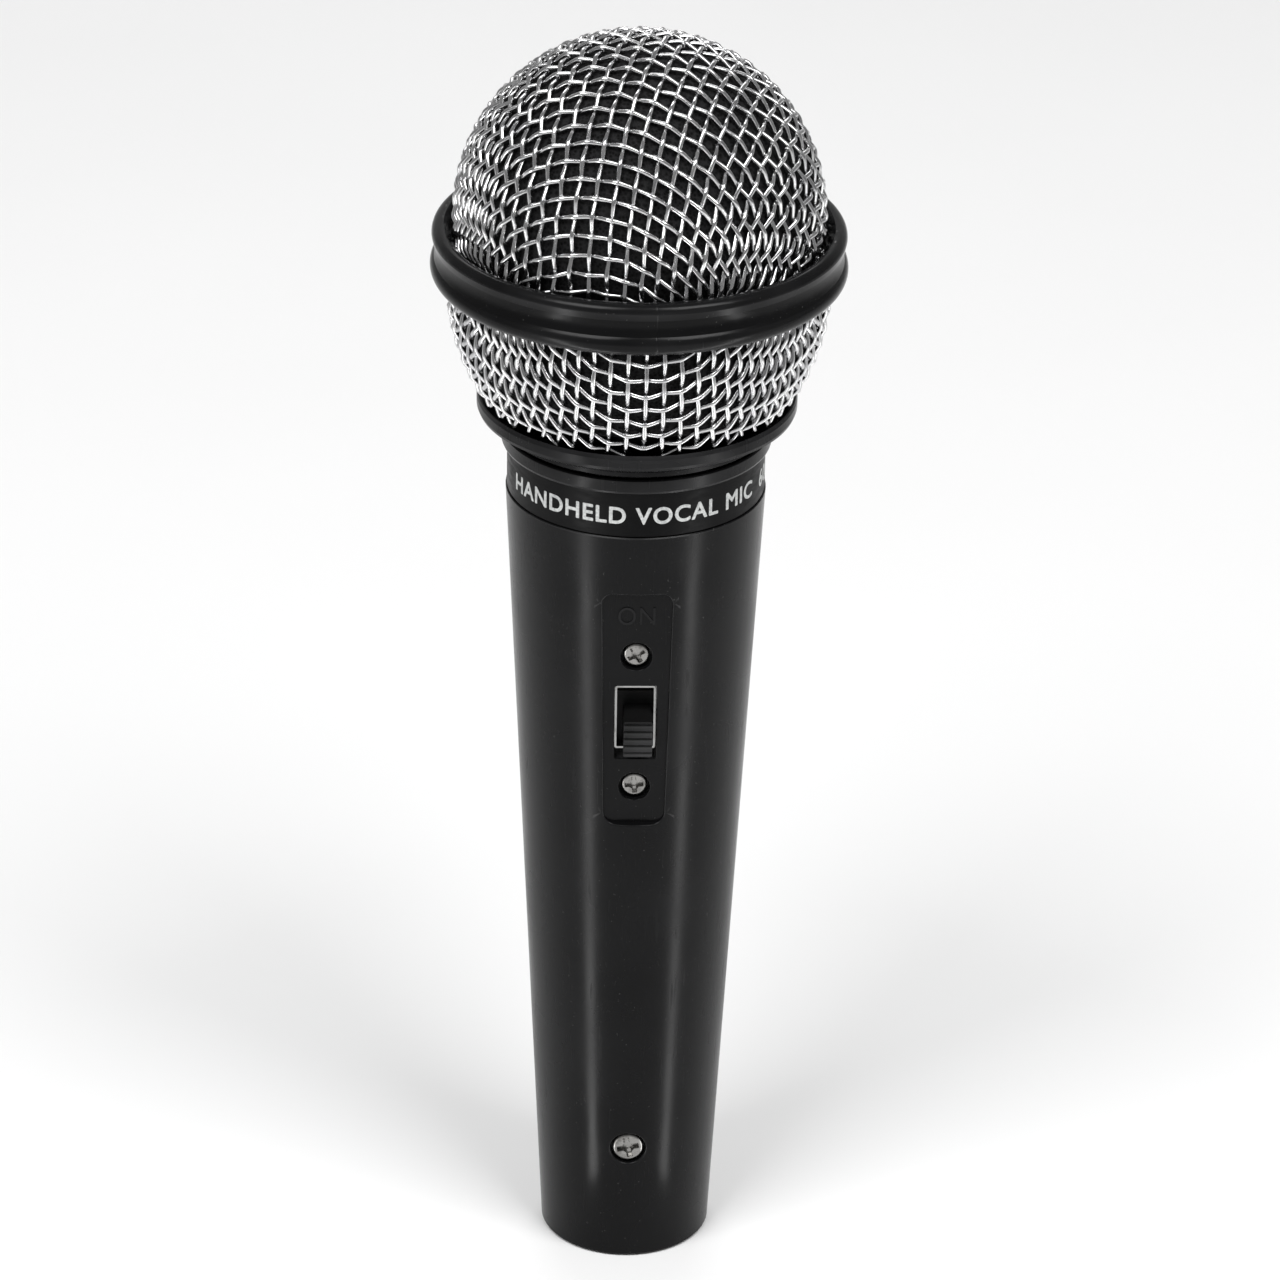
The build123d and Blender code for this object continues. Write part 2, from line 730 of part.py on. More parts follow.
def switch_contact():
    """Sprung bridge under the carrier that joins two of the tags."""
    mid = button_centre_v()
    width, length = 2.0, 6.0
    thickness = 0.3
    foot_length, foot_height = 0.4, 1.2
    foot_v = 2.1
    top = -POCKET_FLOOR - FRAME_THICKNESS - BUTTON_CARRIER_GAP - BUTTON_CARRIER[2]
    bridge = slab(width, length, top - thickness, top, y=mid)
    for side in (-1, 1):
        low = top - thickness - foot_height
        bridge += slab(width, foot_length, low, top - thickness, y=mid + side * foot_v)
    return bridge


def switch_screws():
    """Two small screws that hold the switch's ears to the handle."""
    screw = pan_screw(
        SWITCH_SCREW_HEAD_R, SWITCH_SCREW_HEAD_HEIGHT, SWITCH_SCREW_SHANK_R, SWITCH_SCREW_LENGTH
    )
    screws = []
    for side, turn in SWITCH_SCREW_TURNS.items():
        place = Pos(0, side * SWITCH_SCREW_V, SWITCH_SCREW_SEAT) * Rot(0, 0, turn)
        screws.append(SWITCH_PLANE * place * screw)
    return Compound(children=screws)


# --- connector ---
def connector_insert():
    """Male three-pole insert: an open cup with a thick web that carries the pins."""
    low, high = INSERT_Z
    edge = INSERT_EDGE
    gap = 0.02
    insert = turned_points(
        [
            (0, INSERT_WEB_Z),
            (INSERT_CUP_R, INSERT_WEB_Z),
            (INSERT_CUP_R, low + edge),
            (INSERT_CUP_R + edge, low),
            (INSERT_R - edge, low),
            (INSERT_R, low + edge),
            (INSERT_R, high - edge),
            (INSERT_R - edge, high),
            (0, high),
        ]
    )
    insert -= Pos(0, INSERT_CUP_R, low) * box_up(*KEYWAY_SIZE)
    for angle in PIN_ANGLES.values():
        place = Rot(0, 0, angle) * Pos(PIN_CIRCLE_R, 0, INSERT_WEB_Z)
        insert -= place * Cylinder(PIN_SHOULDER_R + gap, (high - INSERT_WEB_Z) * 3)
    thread_hole = cylinder_down(CONNECTOR_SCREW_SHANK_R + gap, CONNECTOR_SCREW_LENGTH + 0.3)
    return insert - connector_screw_plane() * thread_hole


def contact_pin(angle):
    """Turned contact pin: rounded tip, shoulder through the web and a solder cup behind."""
    shoulder_top_z = INSERT_Z[1] + 0.4
    cup_floor_z = PIN_CUP_TOP_Z - PIN_CUP_DEPTH
    nose_flat_r = PIN_R - PIN_NOSE
    nose_side = PIN_NOSE * (1 - math.sqrt(0.5))
    nose_middle = (PIN_R - nose_side, PIN_TIP_Z + nose_side)
    pin = turned(
        Line((0, PIN_TIP_Z), (nose_flat_r, PIN_TIP_Z)),
        ThreePointArc((nose_flat_r, PIN_TIP_Z), nose_middle, (PIN_R, PIN_TIP_Z + PIN_NOSE)),
        Polyline(
            (PIN_R, PIN_TIP_Z + PIN_NOSE),
            (PIN_R, INSERT_WEB_Z),
            (PIN_SHOULDER_R, INSERT_WEB_Z),
            (PIN_SHOULDER_R, shoulder_top_z),
            (PIN_CUP_R, shoulder_top_z),
            (PIN_CUP_R, PIN_CUP_TOP_Z),
            (PIN_CUP_BORE_R, PIN_CUP_TOP_Z),
            (PIN_CUP_BORE_R, cup_floor_z),
            (0, cup_floor_z),
            (0, PIN_TIP_Z),
        ),
    )
    return Rot(0, 0, angle) * Pos(PIN_CIRCLE_R, 0, 0) * pin


def connector_screw():
    """Pan-head screw through the handle wall into the insert's web."""
    screw = pan_screw(
        CONNECTOR_SCREW_HEAD_R, CONNECTOR_SCREW_HEAD_HEIGHT, CONNECTOR_SCREW_SHANK_R, CONNECTOR_SCREW_LENGTH
    )
    return connector_screw_plane() * Rot(0, 0, CONNECTOR_SCREW_TURN) * screw


# --- wiring ---
def switch_point(v, w, x=0.0):
    """Point given on the switch plane, in the part's own axes."""
    return SWITCH_PLANE.from_local_coords(Vector(x, v, w))


def pin_cup_point(name, z):
    """Point on a contact pin's axis at height z."""
    angle = math.radians(PIN_ANGLES[name])
    return Vector(PIN_CIRCLE_R * math.cos(angle), PIN_CIRCLE_R * math.sin(angle), z)


def wire(points):
    """Round insulated wire along a route of straight runs joined by tangent arcs."""
    run_share = 0.45
    points = [Vector(*p) if isinstance(p, tuple) else p for p in points]
    radii = []
    for before, here, after in zip(points, points[1:], points[2:]):
        turn = math.radians((here - before).get_angle(after - here))
        shorter = min((here - before).length, (after - here).length)
        radii.append(run_share * shorter / math.tan(turn / 2))
    path = FilletPolyline(*points, radius=radii)
    section = Plane(path @ 0, z_dir=path % 0) * Circle(WIRE_R)
    return sweep(section, path=path)


def wire_routes():
    """Routes of the four insulated wires inside the handle."""
    low_tag, mid_tag, top_tag = (
        [switch_point(v, SWITCH_TAG_W[0] - WIRE_END_GAP), switch_point(v, SWITCH_TAG_W[0] - WIRE_LEAD)]
        for v in SWITCH_TAGS_V
    )
    cup_entry_z = PIN_CUP_TOP_Z + WIRE_CUP_RUN
    cup_end_z = PIN_CUP_TOP_Z - PIN_CUP_DEPTH + 0.1
    cup_1, cup_2, cup_3 = (
        [pin_cup_point(name, cup_entry_z), pin_cup_point(name, cup_end_z)] for name in PIN_ANGLES
    )
    capsule_z = CAPSULE_TAG_Z[0] - WIRE_END_GAP
    return {
        "wire_capsule_to_switch": [
            (CAPSULE_TAG_X, 0, capsule_z),
            *ROUTE_CAPSULE_TO_SWITCH,
            *reversed(top_tag),
        ],
        "wire_capsule_to_pin_3": [
            (-CAPSULE_TAG_X, 0, capsule_z),
            *ROUTE_CAPSULE_TO_PIN_3,
            *cup_3,
        ],
        "wire_switch_to_pin_2": [*mid_tag, *ROUTE_SWITCH_TO_PIN_2, *cup_2],
        "wire_switch_to_pin_1": [*low_tag, *ROUTE_SWITCH_TO_PIN_1, *cup_1],
    }


def build():
    """Every node's shape, by name."""
    foam_depth = MESH_THICKNESS + FOAM_GAP
    nodes = {
        "handle_body": handle_body(),
        "label_band": label_band(),
        "neck_gasket": neck_gasket(),
        "grille_collar": grille_collar(),
        "grille_basket": mesh_bowl(0.0, MESH_THICKNESS, *BASKET_Z),
        "grille_band": grille_band(),
        "grille_dome": mesh_dome(0.0, MESH_THICKNESS, DOME_SEAT_Z),
        "basket_foam": mesh_bowl(foam_depth, foam_depth + BASKET_FOAM_THICKNESS, *BASKET_FOAM_Z),
        "dome_foam": mesh_dome(foam_depth, foam_depth + DOME_FOAM_THICKNESS, DOME_SEAT_Z + FOAM_GAP),
        "shock_mount": shock_mount(),
        "capsule_rear_case": capsule_rear_case(),
        "capsule_housing": capsule_housing(),
        "capsule_yoke": capsule_yoke(),
        "capsule_magnet": disc(MAGNET_R, REAR_CASE_Z[1] + CASE_FLOOR, MAGNET_TOP_Z),
        "capsule_pole_plate": disc(POLE_PLATE_R, MAGNET_TOP_Z, YOKE_TOP_Z),
        "voice_coil": tube(COIL_R[1], COIL_R[0], COIL_BOTTOM_Z, DIAPHRAGM_Z),
        "capsule_diaphragm": capsule_diaphragm(),
        "capsule_front_cap": capsule_front_cap(),
        "capsule_terminal_board": capsule_terminal_board(),
        "capsule_terminals": capsule_terminals(),
        "switch_frame": switch_frame(),
        "switch_base": switch_base(),
        "switch_terminals": switch_terminals(),
        "switch_button": switch_button(),
        "switch_contact": switch_contact(),
        "switch_screws": switch_screws(),
        "connector_insert": connector_insert(),
        "connector_screw": connector_screw(),
    }
    for name, angle in PIN_ANGLES.items():
        nodes[name] = contact_pin(angle)
    for name, route in wire_routes().items():
        nodes[name] = wire(route)
    return nodes


os.makedirs("parts", exist_ok=True)
for node_name, shape in build().items():
    export_step(shape, f"parts/{node_name}.step")
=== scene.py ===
import json
import math

import bmesh
import bpy
import numpy as np
from mathutils import Matrix, Vector, noise


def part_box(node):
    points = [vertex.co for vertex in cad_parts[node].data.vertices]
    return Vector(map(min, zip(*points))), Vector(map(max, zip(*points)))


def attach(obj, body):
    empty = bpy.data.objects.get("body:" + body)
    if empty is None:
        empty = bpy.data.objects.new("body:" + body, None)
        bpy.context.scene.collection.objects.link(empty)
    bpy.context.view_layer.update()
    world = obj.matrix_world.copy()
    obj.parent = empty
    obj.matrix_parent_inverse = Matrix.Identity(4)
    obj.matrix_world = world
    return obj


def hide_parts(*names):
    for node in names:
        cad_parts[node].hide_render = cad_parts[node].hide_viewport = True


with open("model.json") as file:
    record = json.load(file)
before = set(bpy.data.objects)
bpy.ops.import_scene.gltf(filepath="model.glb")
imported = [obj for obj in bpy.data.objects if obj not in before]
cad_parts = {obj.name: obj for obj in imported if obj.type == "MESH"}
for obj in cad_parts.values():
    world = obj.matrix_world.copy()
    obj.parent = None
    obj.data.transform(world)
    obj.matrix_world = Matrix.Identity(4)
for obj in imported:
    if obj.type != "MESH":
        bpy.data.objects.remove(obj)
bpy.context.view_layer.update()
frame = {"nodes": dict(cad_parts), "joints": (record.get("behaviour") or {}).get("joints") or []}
nodes = frame["nodes"]

MM = 0.001

# --- woven grille: sizes in millimetres; a crimp of 0 is a sine wave and 1 a zigzag ---
WIRE_R = 0.32
WIRE_CRIMP = 0.9
DOME_PITCH = 2.38
BASKET_PITCH = 2.3
DOME_TURN_DEG = -17.0
BASKET_TURN_DEG = 1.0
BASKET_ARC_R = 28.2
BASKET_RIM_HEIGHT = 2.7
STEPS_PER_CELL = 8
WIRE_SIDES = 10
NET_NEWTON_STEPS = 40
MESH_EDGE_INSET = 0.1
DOME_SEED = 3.0
BASKET_SEED = 11.0

# --- foam liners: sizes in millimetres ---
DOME_FOAM_THICKNESS = 2.9
BASKET_FOAM_THICKNESS = 2.1
FOAM_EDGE_INSET = 0.05
FOAM_SIDES = 180

# --- handle and switch: sizes in millimetres ---
HANDLE_FOOT_R = 11.6
HANDLE_SHOULDER_Z = 113.3
SWITCH_CENTRE_Z = 85.45
POCKET_DEPTH = 0.95

# --- lettering: sizes in millimetres; V is the height above the switch's centre, up the slope ---
LABEL_WORDS = "HANDHELD VOCAL MIC  600 OHM"
LABEL_CAP_HEIGHT = 2.4
LABEL_START_DEG = -68.5
LABEL_INK_DEPTH = 0.03
LABEL_INK_STANDOFF = 0.008
LABEL_STROKE_REACH = 0.075
LABEL_LONGEST_EDGE = 0.7
SWITCH_WORDS = "ON"
SWITCH_CAP_HEIGHT = 2.7
SWITCH_WORDS_V = 16.2
SWITCH_WORDS_DEPTH = 0.2
SWITCH_WORDS_RAISED = 0.05
SWITCH_WORDS_WIDTH = 0.86
CAP_HEIGHT_SHARE = 0.73

# --- black plastic: shared colours ---
GLOSS_BLACK = (0.0032, 0.0032, 0.0034)
DUST_COLOUR = (0.12, 0.12, 0.115)
# lighter colour of sharp edges: rubbed wear, and a painted highlight on the outlines of raised lettering
WORN_AND_LIT_EDGE_COLOUR = (0.07, 0.07, 0.072)

# --- camera ---
CAMERA_DISTANCE_MM = 802.6
CAMERA_ELEVATION_DEG = 26.87
CAMERA_AZIMUTH_DEG = -1.8
CAMERA_ROLL_DEG = 0.936
CAMERA_AIM_MM = (0.91, 90.1)
CAMERA_LENS_MM = 168.6


# ---------------------------------------------------------------- shader helpers
def new_material(name):
    """An empty node material with its output and Principled shader."""
    material = bpy.data.materials.new(name)
    material.use_nodes = True
    tree = material.node_tree
    tree.nodes.clear()
    output = tree.nodes.new("ShaderNodeOutputMaterial")
    shader = tree.nodes.new("ShaderNodeBsdfPrincipled")
    tree.links.new(shader.outputs[0], output.inputs[0])
    return material, tree, shader


def coordinates(tree, scale):
    """Object coordinates times a scale, the same on every piece because all sit at the origin."""
    source = tree.nodes.new("ShaderNodeTexCoord")
    mapping = tree.nodes.new("ShaderNodeMapping")
    mapping.inputs["Scale"].default_value = scale if hasattr(scale, "__len__") else (scale,) * 3
    tree.links.new(source.outputs["Object"], mapping.inputs[0])
    return mapping.outputs[0]


def noise_value(tree, stretch, per_metre, detail, roughness=0.5):
    """Noise from object space: per_metre is its frequency, which stretch scales along the axes."""
    node = tree.nodes.new("ShaderNodeTexNoise")
    node.inputs["Scale"].default_value = per_metre
    node.inputs["Detail"].default_value = detail
    node.inputs["Roughness"].default_value = roughness
    tree.links.new(coordinates(tree, stretch), node.inputs["Vector"])
    return node.outputs["Fac"]


def remap(tree, value, low, high, new_low, new_high):
    """Clamped linear change of range."""
    node = tree.nodes.new("ShaderNodeMapRange")
    for slot, number in enumerate((low, high, new_low, new_high), start=1):
        node.inputs[slot].default_value = number
    tree.links.new(value, node.inputs[0])
    return node.outputs[0]


def math_node(tree, operation, first, second=None):
    """One Math node; numbers or sockets as inputs."""
    node = tree.nodes.new("ShaderNodeMath")
    node.operation = operation
    for slot, value in enumerate((first, second)):
        if value is None:
            continue
        if isinstance(value, (int, float)):
            node.inputs[slot].default_value = value
        else:
            tree.links.new(value, node.inputs[slot])
    return node.outputs[0]


def mix_colours(tree, factor, first, second):
    """Colour mix; first and second are RGB triples or sockets."""
    node = tree.nodes.new("ShaderNodeMix")
    node.data_type = "RGBA"
    tree.links.new(factor, node.inputs["Factor"])
    for slot, colour in (("A", first), ("B", second)):
        socket = next(s for s in node.inputs if s.name == slot and s.type == "RGBA")
        if isinstance(colour, tuple):
            socket.default_value = (*colour, 1.0)
        else:
            tree.links.new(colour, socket)
    return next(s for s in node.outputs if s.type == "RGBA")


def bump(tree, shader, height, distance_mm, strength, under=None):
    """Bump from a height socket, stacked on an earlier bump where there is one."""
    node = tree.nodes.new("ShaderNodeBump")
    node.inputs["Distance"].default_value = distance_mm * MM
    node.inputs["Strength"].default_value = strength
    tree.links.new(height, node.inputs["Height"])
    if under is not None:
        tree.links.new(under, node.inputs["Normal"])
    tree.links.new(node.outputs[0], shader.inputs["Normal"])
    return node.outputs[0]


def pointiness_edge(tree):
    """0 on flat and hollow places, 1 on sharp outer edges."""
    flat, sharp = 0.505, 0.56
    geometry = tree.nodes.new("ShaderNodeNewGeometry")
    return remap(tree, geometry.outputs["Pointiness"], flat, sharp, 0.0, 1.0)


def vector_node(tree, operation, first, second=None):
    """One Vector Math node; triples or sockets as inputs."""
    node = tree.nodes.new("ShaderNodeVectorMath")
    node.operation = operation
    for slot, value in enumerate((first, second)):
        if value is None:
            continue
        if isinstance(value, tuple):
            node.inputs[slot].default_value = value
        else:
            tree.links.new(value, node.inputs[slot])
    return node.outputs["Value" if operation == "DOT_PRODUCT" else 0]


def mix_vectors(tree, factor, first, second):
    """Vector mix; first is a socket, second a triple or a socket."""
    node = tree.nodes.new("ShaderNodeMix")
    node.data_type = "VECTOR"
    tree.links.new(factor, node.inputs["Factor"])
    for slot, value in (("A", first), ("B", second)):
        socket = next(s for s in node.inputs if s.name == slot and s.type == "VECTOR")
        if isinstance(value, tuple):
            socket.default_value = value
        else:
            tree.links.new(value, socket)
    return next(s for s in node.outputs if s.type == "VECTOR")


def both(tree, first, second):
    """1 where both masks are 1."""
    return math_node(tree, "MULTIPLY", first, second)


def handle_normal(tree):
    """Normals of the taper and the pocket floor, the mesh's own elsewhere, and a mask of that rest."""
    cone_reach, cone_facing = 0.4 * MM, 0.98
    floor_reach, floor_facing = 0.02 * MM, 0.999
    origin, _, upward, outward = switch_axes()
    geometry = tree.nodes.new("ShaderNodeNewGeometry")
    flat = geometry.outputs["True Normal"]
    place = coordinates(tree, 1.0)
    split = tree.nodes.new("ShaderNodeSeparateXYZ")
    tree.links.new(place, split.inputs[0])
    height = split.outputs["Z"]
    level = vector_node(tree, "MULTIPLY", place, (1.0, 1.0, 0.0))
    distance = math_node(tree, "SQRT", vector_node(tree, "DOT_PRODUCT", level, level))
    radial = vector_node(tree, "MULTIPLY", vector_node(tree, "NORMALIZE", level), (upward.z,) * 3)
    cone = vector_node(tree, "ADD", radial, (0.0, 0.0, upward.y))
    rise = math_node(tree, "MULTIPLY", height, -upward.y / upward.z)
    wall = math_node(tree, "ADD", rise, HANDLE_FOOT_R * MM)
    on_cone = math_node(tree, "LESS_THAN", math_node(tree, "SUBTRACT", wall, distance), cone_reach)
    along_cone = math_node(tree, "GREATER_THAN", vector_node(tree, "DOT_PRODUCT", flat, cone), cone_facing)
    below = math_node(tree, "LESS_THAN", height, HANDLE_SHOULDER_Z * MM)
    cone_mask = both(tree, both(tree, on_cone, along_cone), below)
    normal = mix_vectors(tree, cone_mask, geometry.outputs["Normal"], cone)
    face = tuple(outward)
    face_offset = origin.dot(outward) * MM
    from_floor = math_node(tree, "SUBTRACT", vector_node(tree, "DOT_PRODUCT", place, face), face_offset)
    on_floor = math_node(tree, "LESS_THAN", math_node(tree, "ABSOLUTE", from_floor), floor_reach)
    floor_share = vector_node(tree, "DOT_PRODUCT", flat, face)
    along_floor = math_node(tree, "GREATER_THAN", floor_share, floor_facing)
    floor_mask = both(tree, on_floor, along_floor)
    elsewhere = math_node(tree, "SUBTRACT", 1.0, math_node(tree, "MAXIMUM", cone_mask, floor_mask))
    return mix_vectors(tree, floor_mask, normal, face), elsewhere


# ---------------------------------------------------------------- materials
def black_plastic(
    name,
    colour=GLOSS_BLACK,
    rough=(0.2, 0.3),
    specular=0.12,
    scratch=1.0,
    edge_wear_and_highlight=0.35,
    seam=False,
    exact=False,
):
    """Moulded gloss ABS: faint flow ripple, dust specks, fine handling scratches and lighter worn edges.

    scratch and edge_wear_and_highlight set how strong the marks are; the lighter edges are rubbed wear, and
    on small raised lettering also a painted highlight along the outlines.
    seam adds the band's parting line, and exact computes the handle's normals.
    """
    clouds_per_m, ripples_per_m, streaks_per_m, specks_per_m = 60.0, 900.0, 1400.0, 2600.0
    upright = (1.0, 1.0, 0.08)
    lighter, dust_share, dust_roughness = 1.5, 0.25, 0.2
    material, tree, shader = new_material(name)
    shader.inputs["Specular IOR Level"].default_value = specular
    shader.inputs["IOR"].default_value = 1.5
    clouds = noise_value(tree, 1.0, clouds_per_m, 3.0)
    fine = noise_value(tree, 1.0, ripples_per_m, 2.0)
    streaks = noise_value(tree, upright, streaks_per_m, 2.0, 0.6)
    specks = remap(tree, noise_value(tree, 1.0, specks_per_m, 1.0), 0.74, 0.8, 0.0, 1.0)
    # lighter on sharp outer edges: rubbed wear, and on small raised lettering also a painted highlight
    # along the outlines
    worn_and_lit_edges = math_node(tree, "MULTIPLY", pointiness_edge(tree), remap(tree, clouds, 0.4, 0.6, 0.2, 1.0))
    normal = None
    if exact:
        normal, elsewhere = handle_normal(tree)
        worn_and_lit_edges = both(tree, worn_and_lit_edges, elsewhere)
    light_colour = tuple(c * lighter for c in colour)
    base = mix_colours(tree, remap(tree, clouds, 0.35, 0.65, 0.0, 1.0), colour, light_colour)
    dusty = mix_colours(tree, math_node(tree, "MULTIPLY", specks, dust_share), base, DUST_COLOUR)
    edged = mix_colours(tree, math_node(tree, "MULTIPLY", worn_and_lit_edges, edge_wear_and_highlight), dusty, WORN_AND_LIT_EDGE_COLOUR)
    tree.links.new(edged, shader.inputs["Base Color"])
    rough_base = remap(tree, clouds, 0.3, 0.7, rough[0], rough[1])
    scratched = remap(tree, streaks, 0.62, 0.75, 0.0, 0.12 * scratch)
    roughness = math_node(tree, "ADD", rough_base, scratched)
    roughness = math_node(tree, "ADD", roughness, math_node(tree, "MULTIPLY", specks, dust_roughness))
    tree.links.new(roughness, shader.inputs["Roughness"])
    ripple = bump(tree, shader, clouds, 0.06, 0.35, normal)
    grain = bump(tree, shader, fine, 0.006, 0.35, ripple)
    lined = bump(tree, shader, streaks, 0.004 * scratch, 0.3, grain)
    if seam:
        mould_seam(tree, shader, lined)
    return material


def mould_seam(tree, shader, under):
    """Thin upright parting line on the front of the band."""
    seam_x, seam_half_width = 1.6 * MM, 0.12 * MM
    seam_depth_mm = 0.05
    source = tree.nodes.new("ShaderNodeTexCoord")
    split = tree.nodes.new("ShaderNodeSeparateXYZ")
    tree.links.new(source.outputs["Object"], split.inputs[0])
    offset = math_node(tree, "ABSOLUTE", math_node(tree, "SUBTRACT", split.outputs["X"], seam_x))
    ridge = remap(tree, offset, 0.0, seam_half_width, 1.0, 0.0)
    front = math_node(tree, "LESS_THAN", split.outputs["Y"], 0.0)
    bump(tree, shader, math_node(tree, "MULTIPLY", ridge, front), seam_depth_mm, 0.8, under)


def nickel(name, colour, rough, tarnish, tarnish_amount):
    """Bright nickel plate with patchy tarnish and fine rubbing marks."""
    patches_per_m, grains_per_m = 420.0, 3800.0
    material, tree, shader = new_material(name)
    shader.inputs["Metallic"].default_value = 1.0
    patches = noise_value(tree, 1.0, patches_per_m, 4.0, 0.6)
    grain = noise_value(tree, 1.0, grains_per_m, 2.0)
    mask = remap(tree, patches, 0.5, 0.72, 0.0, tarnish_amount)
    tree.links.new(mix_colours(tree, mask, colour, tarnish), shader.inputs["Base Color"])
    tree.links.new(remap(tree, patches, 0.3, 0.7, rough[0], rough[1]), shader.inputs["Roughness"])
    under = bump(tree, shader, patches, 0.02, 0.3)
    bump(tree, shader, grain, 0.006, 0.4, under)
    return material


def wire_metal():
    """Drawn nickel-plated wire: cloudy brightness, dull specks and a fine grain."""
    clouds_per_m, grains_per_m = 150.0, 5200.0
    grey, bright, dull = (0.5, 0.5, 0.51), (0.64, 0.64, 0.64), (0.34, 0.33, 0.32)
    material, tree, shader = new_material("mesh_wire_nickel")
    shader.inputs["Metallic"].default_value = 1.0
    clouds = noise_value(tree, 1.0, clouds_per_m, 3.0)
    grain = noise_value(tree, 1.0, grains_per_m, 2.0)
    clean = mix_colours(tree, remap(tree, clouds, 0.35, 0.65, 0.0, 1.0), grey, bright)
    specked = mix_colours(tree, remap(tree, grain, 0.6, 0.8, 0.0, 0.45), clean, dull)
    tree.links.new(specked, shader.inputs["Base Color"])
    tree.links.new(remap(tree, grain, 0.3, 0.75, 0.12, 0.26), shader.inputs["Roughness"])
    bump(tree, shader, grain, 0.006, 0.4)
    return material


def foam_material():
    """Open-cell black foam: cell walls, with the cell hollows and finer pores painted darker as shade in
    the holes, and no gloss.
    """
    cells_per_m, pores_per_m = 1900.0, 5200.0
    pore_shade_colour, wall = (0.002, 0.002, 0.002), (0.03, 0.03, 0.031)
    material, tree, shader = new_material("black_open_foam")
    shader.inputs["Specular IOR Level"].default_value = 0.15
    shader.inputs["Roughness"].default_value = 0.95
    cells = tree.nodes.new("ShaderNodeTexVoronoi")
    cells.inputs["Scale"].default_value = cells_per_m
    tree.links.new(coordinates(tree, 1.0), cells.inputs["Vector"])
    pores = noise_value(tree, 1.0, pores_per_m, 3.0, 0.7)
    walls = remap(tree, cells.outputs["Distance"], 0.1, 0.65, 0.0, 1.0)
    # darker in cell hollows and pores: painted shade in the holes
    colour = mix_colours(tree, math_node(tree, "MULTIPLY", walls, pores), pore_shade_colour, wall)
    tree.links.new(colour, shader.inputs["Base Color"])
    under = bump(tree, shader, walls, 0.18, 0.9)
    bump(tree, shader, pores, 0.06, 0.6, under)
    return material


def label_film():
    """Satin black printed film with slight scuffs."""
    clouds_per_m, scuffs_per_m = 160.0, 1600.0
    sideways = (0.25, 0.25, 1.0)
    dark, light = (0.0022, 0.0022, 0.0024), (0.0048, 0.0048, 0.005)
    material, tree, shader = new_material("label_satin_film")
    shader.inputs["Specular IOR Level"].default_value = 0.08
    clouds = noise_value(tree, 1.0, clouds_per_m, 4.0, 0.6)
    scuffs = noise_value(tree, sideways, scuffs_per_m, 2.0, 0.6)
    colour = mix_colours(tree, remap(tree, clouds, 0.35, 0.65, 0.0, 1.0), dark, light)
    tree.links.new(colour, shader.inputs["Base Color"])
    tree.links.new(remap(tree, scuffs, 0.4, 0.75, 0.32, 0.52), shader.inputs["Roughness"])
    under = bump(tree, shader, clouds, 0.03, 0.3)
    bump(tree, shader, scuffs, 0.006, 0.3, under)
    return material


def label_ink():
    """Screen-printed light grey ink, thin in places."""
    specks_per_m = 2400.0
    full, thin = (0.6, 0.61, 0.6), (0.36, 0.37, 0.37)
    material, tree, shader = new_material("label_grey_ink")
    shader.inputs["Specular IOR Level"].default_value = 0.3
    specks = noise_value(tree, 1.0, specks_per_m, 3.0, 0.6)
    colour = mix_colours(tree, remap(tree, specks, 0.35, 0.7, 0.0, 1.0), full, thin)
    tree.links.new(colour, shader.inputs["Base Color"])
    tree.links.new(remap(tree, specks, 0.3, 0.7, 0.45, 0.65), shader.inputs["Roughness"])
    bump(tree, shader, specks, 0.01, 0.4)
    return material


def soft_material(name, colour, rough, grain_mm=0.02):
    """Matt moulded rubber, nylon, board or insulation: mottled colour with a fine grain."""
    clouds_per_m, grains_per_m = 220.0, 3000.0
    lighter = 1.35
    material, tree, shader = new_material(name)
    shader.inputs["Specular IOR Level"].default_value = 0.3
    clouds = noise_value(tree, 1.0, clouds_per_m, 3.0)
    grain = noise_value(tree, 1.0, grains_per_m, 2.0)
    light = tuple(min(1.0, c * lighter) for c in colour)
    mottled = mix_colours(tree, remap(tree, clouds, 0.3, 0.7, 0.0, 1.0), colour, light)
    tree.links.new(mottled, shader.inputs["Base Color"])
    tree.links.new(remap(tree, grain, 0.3, 0.7, rough - 0.06, rough + 0.08), shader.inputs["Roughness"])
    bump(tree, shader, grain, grain_mm, 0.4)
    return material


def metal_material(name, colour, rough):
    """Plain metal of the inner parts, with a light directional grain."""
    grains_per_m = 3000.0
    upright = (1.0, 1.0, 0.1)
    darker = 0.7
    material, tree, shader = new_material(name)
    shader.inputs["Metallic"].default_value = 1.0
    grain = noise_value(tree, upright, grains_per_m, 2.0, 0.6)
    dark = tuple(c * darker for c in colour)
    grained = mix_colours(tree, remap(tree, grain, 0.35, 0.7, 0.0, 1.0), colour, dark)
    tree.links.new(grained, shader.inputs["Base Color"])
    tree.links.new(remap(tree, grain, 0.3, 0.7, rough - 0.05, rough + 0.1), shader.inputs["Roughness"])
    bump(tree, shader, grain, 0.008, 0.4)
    return material


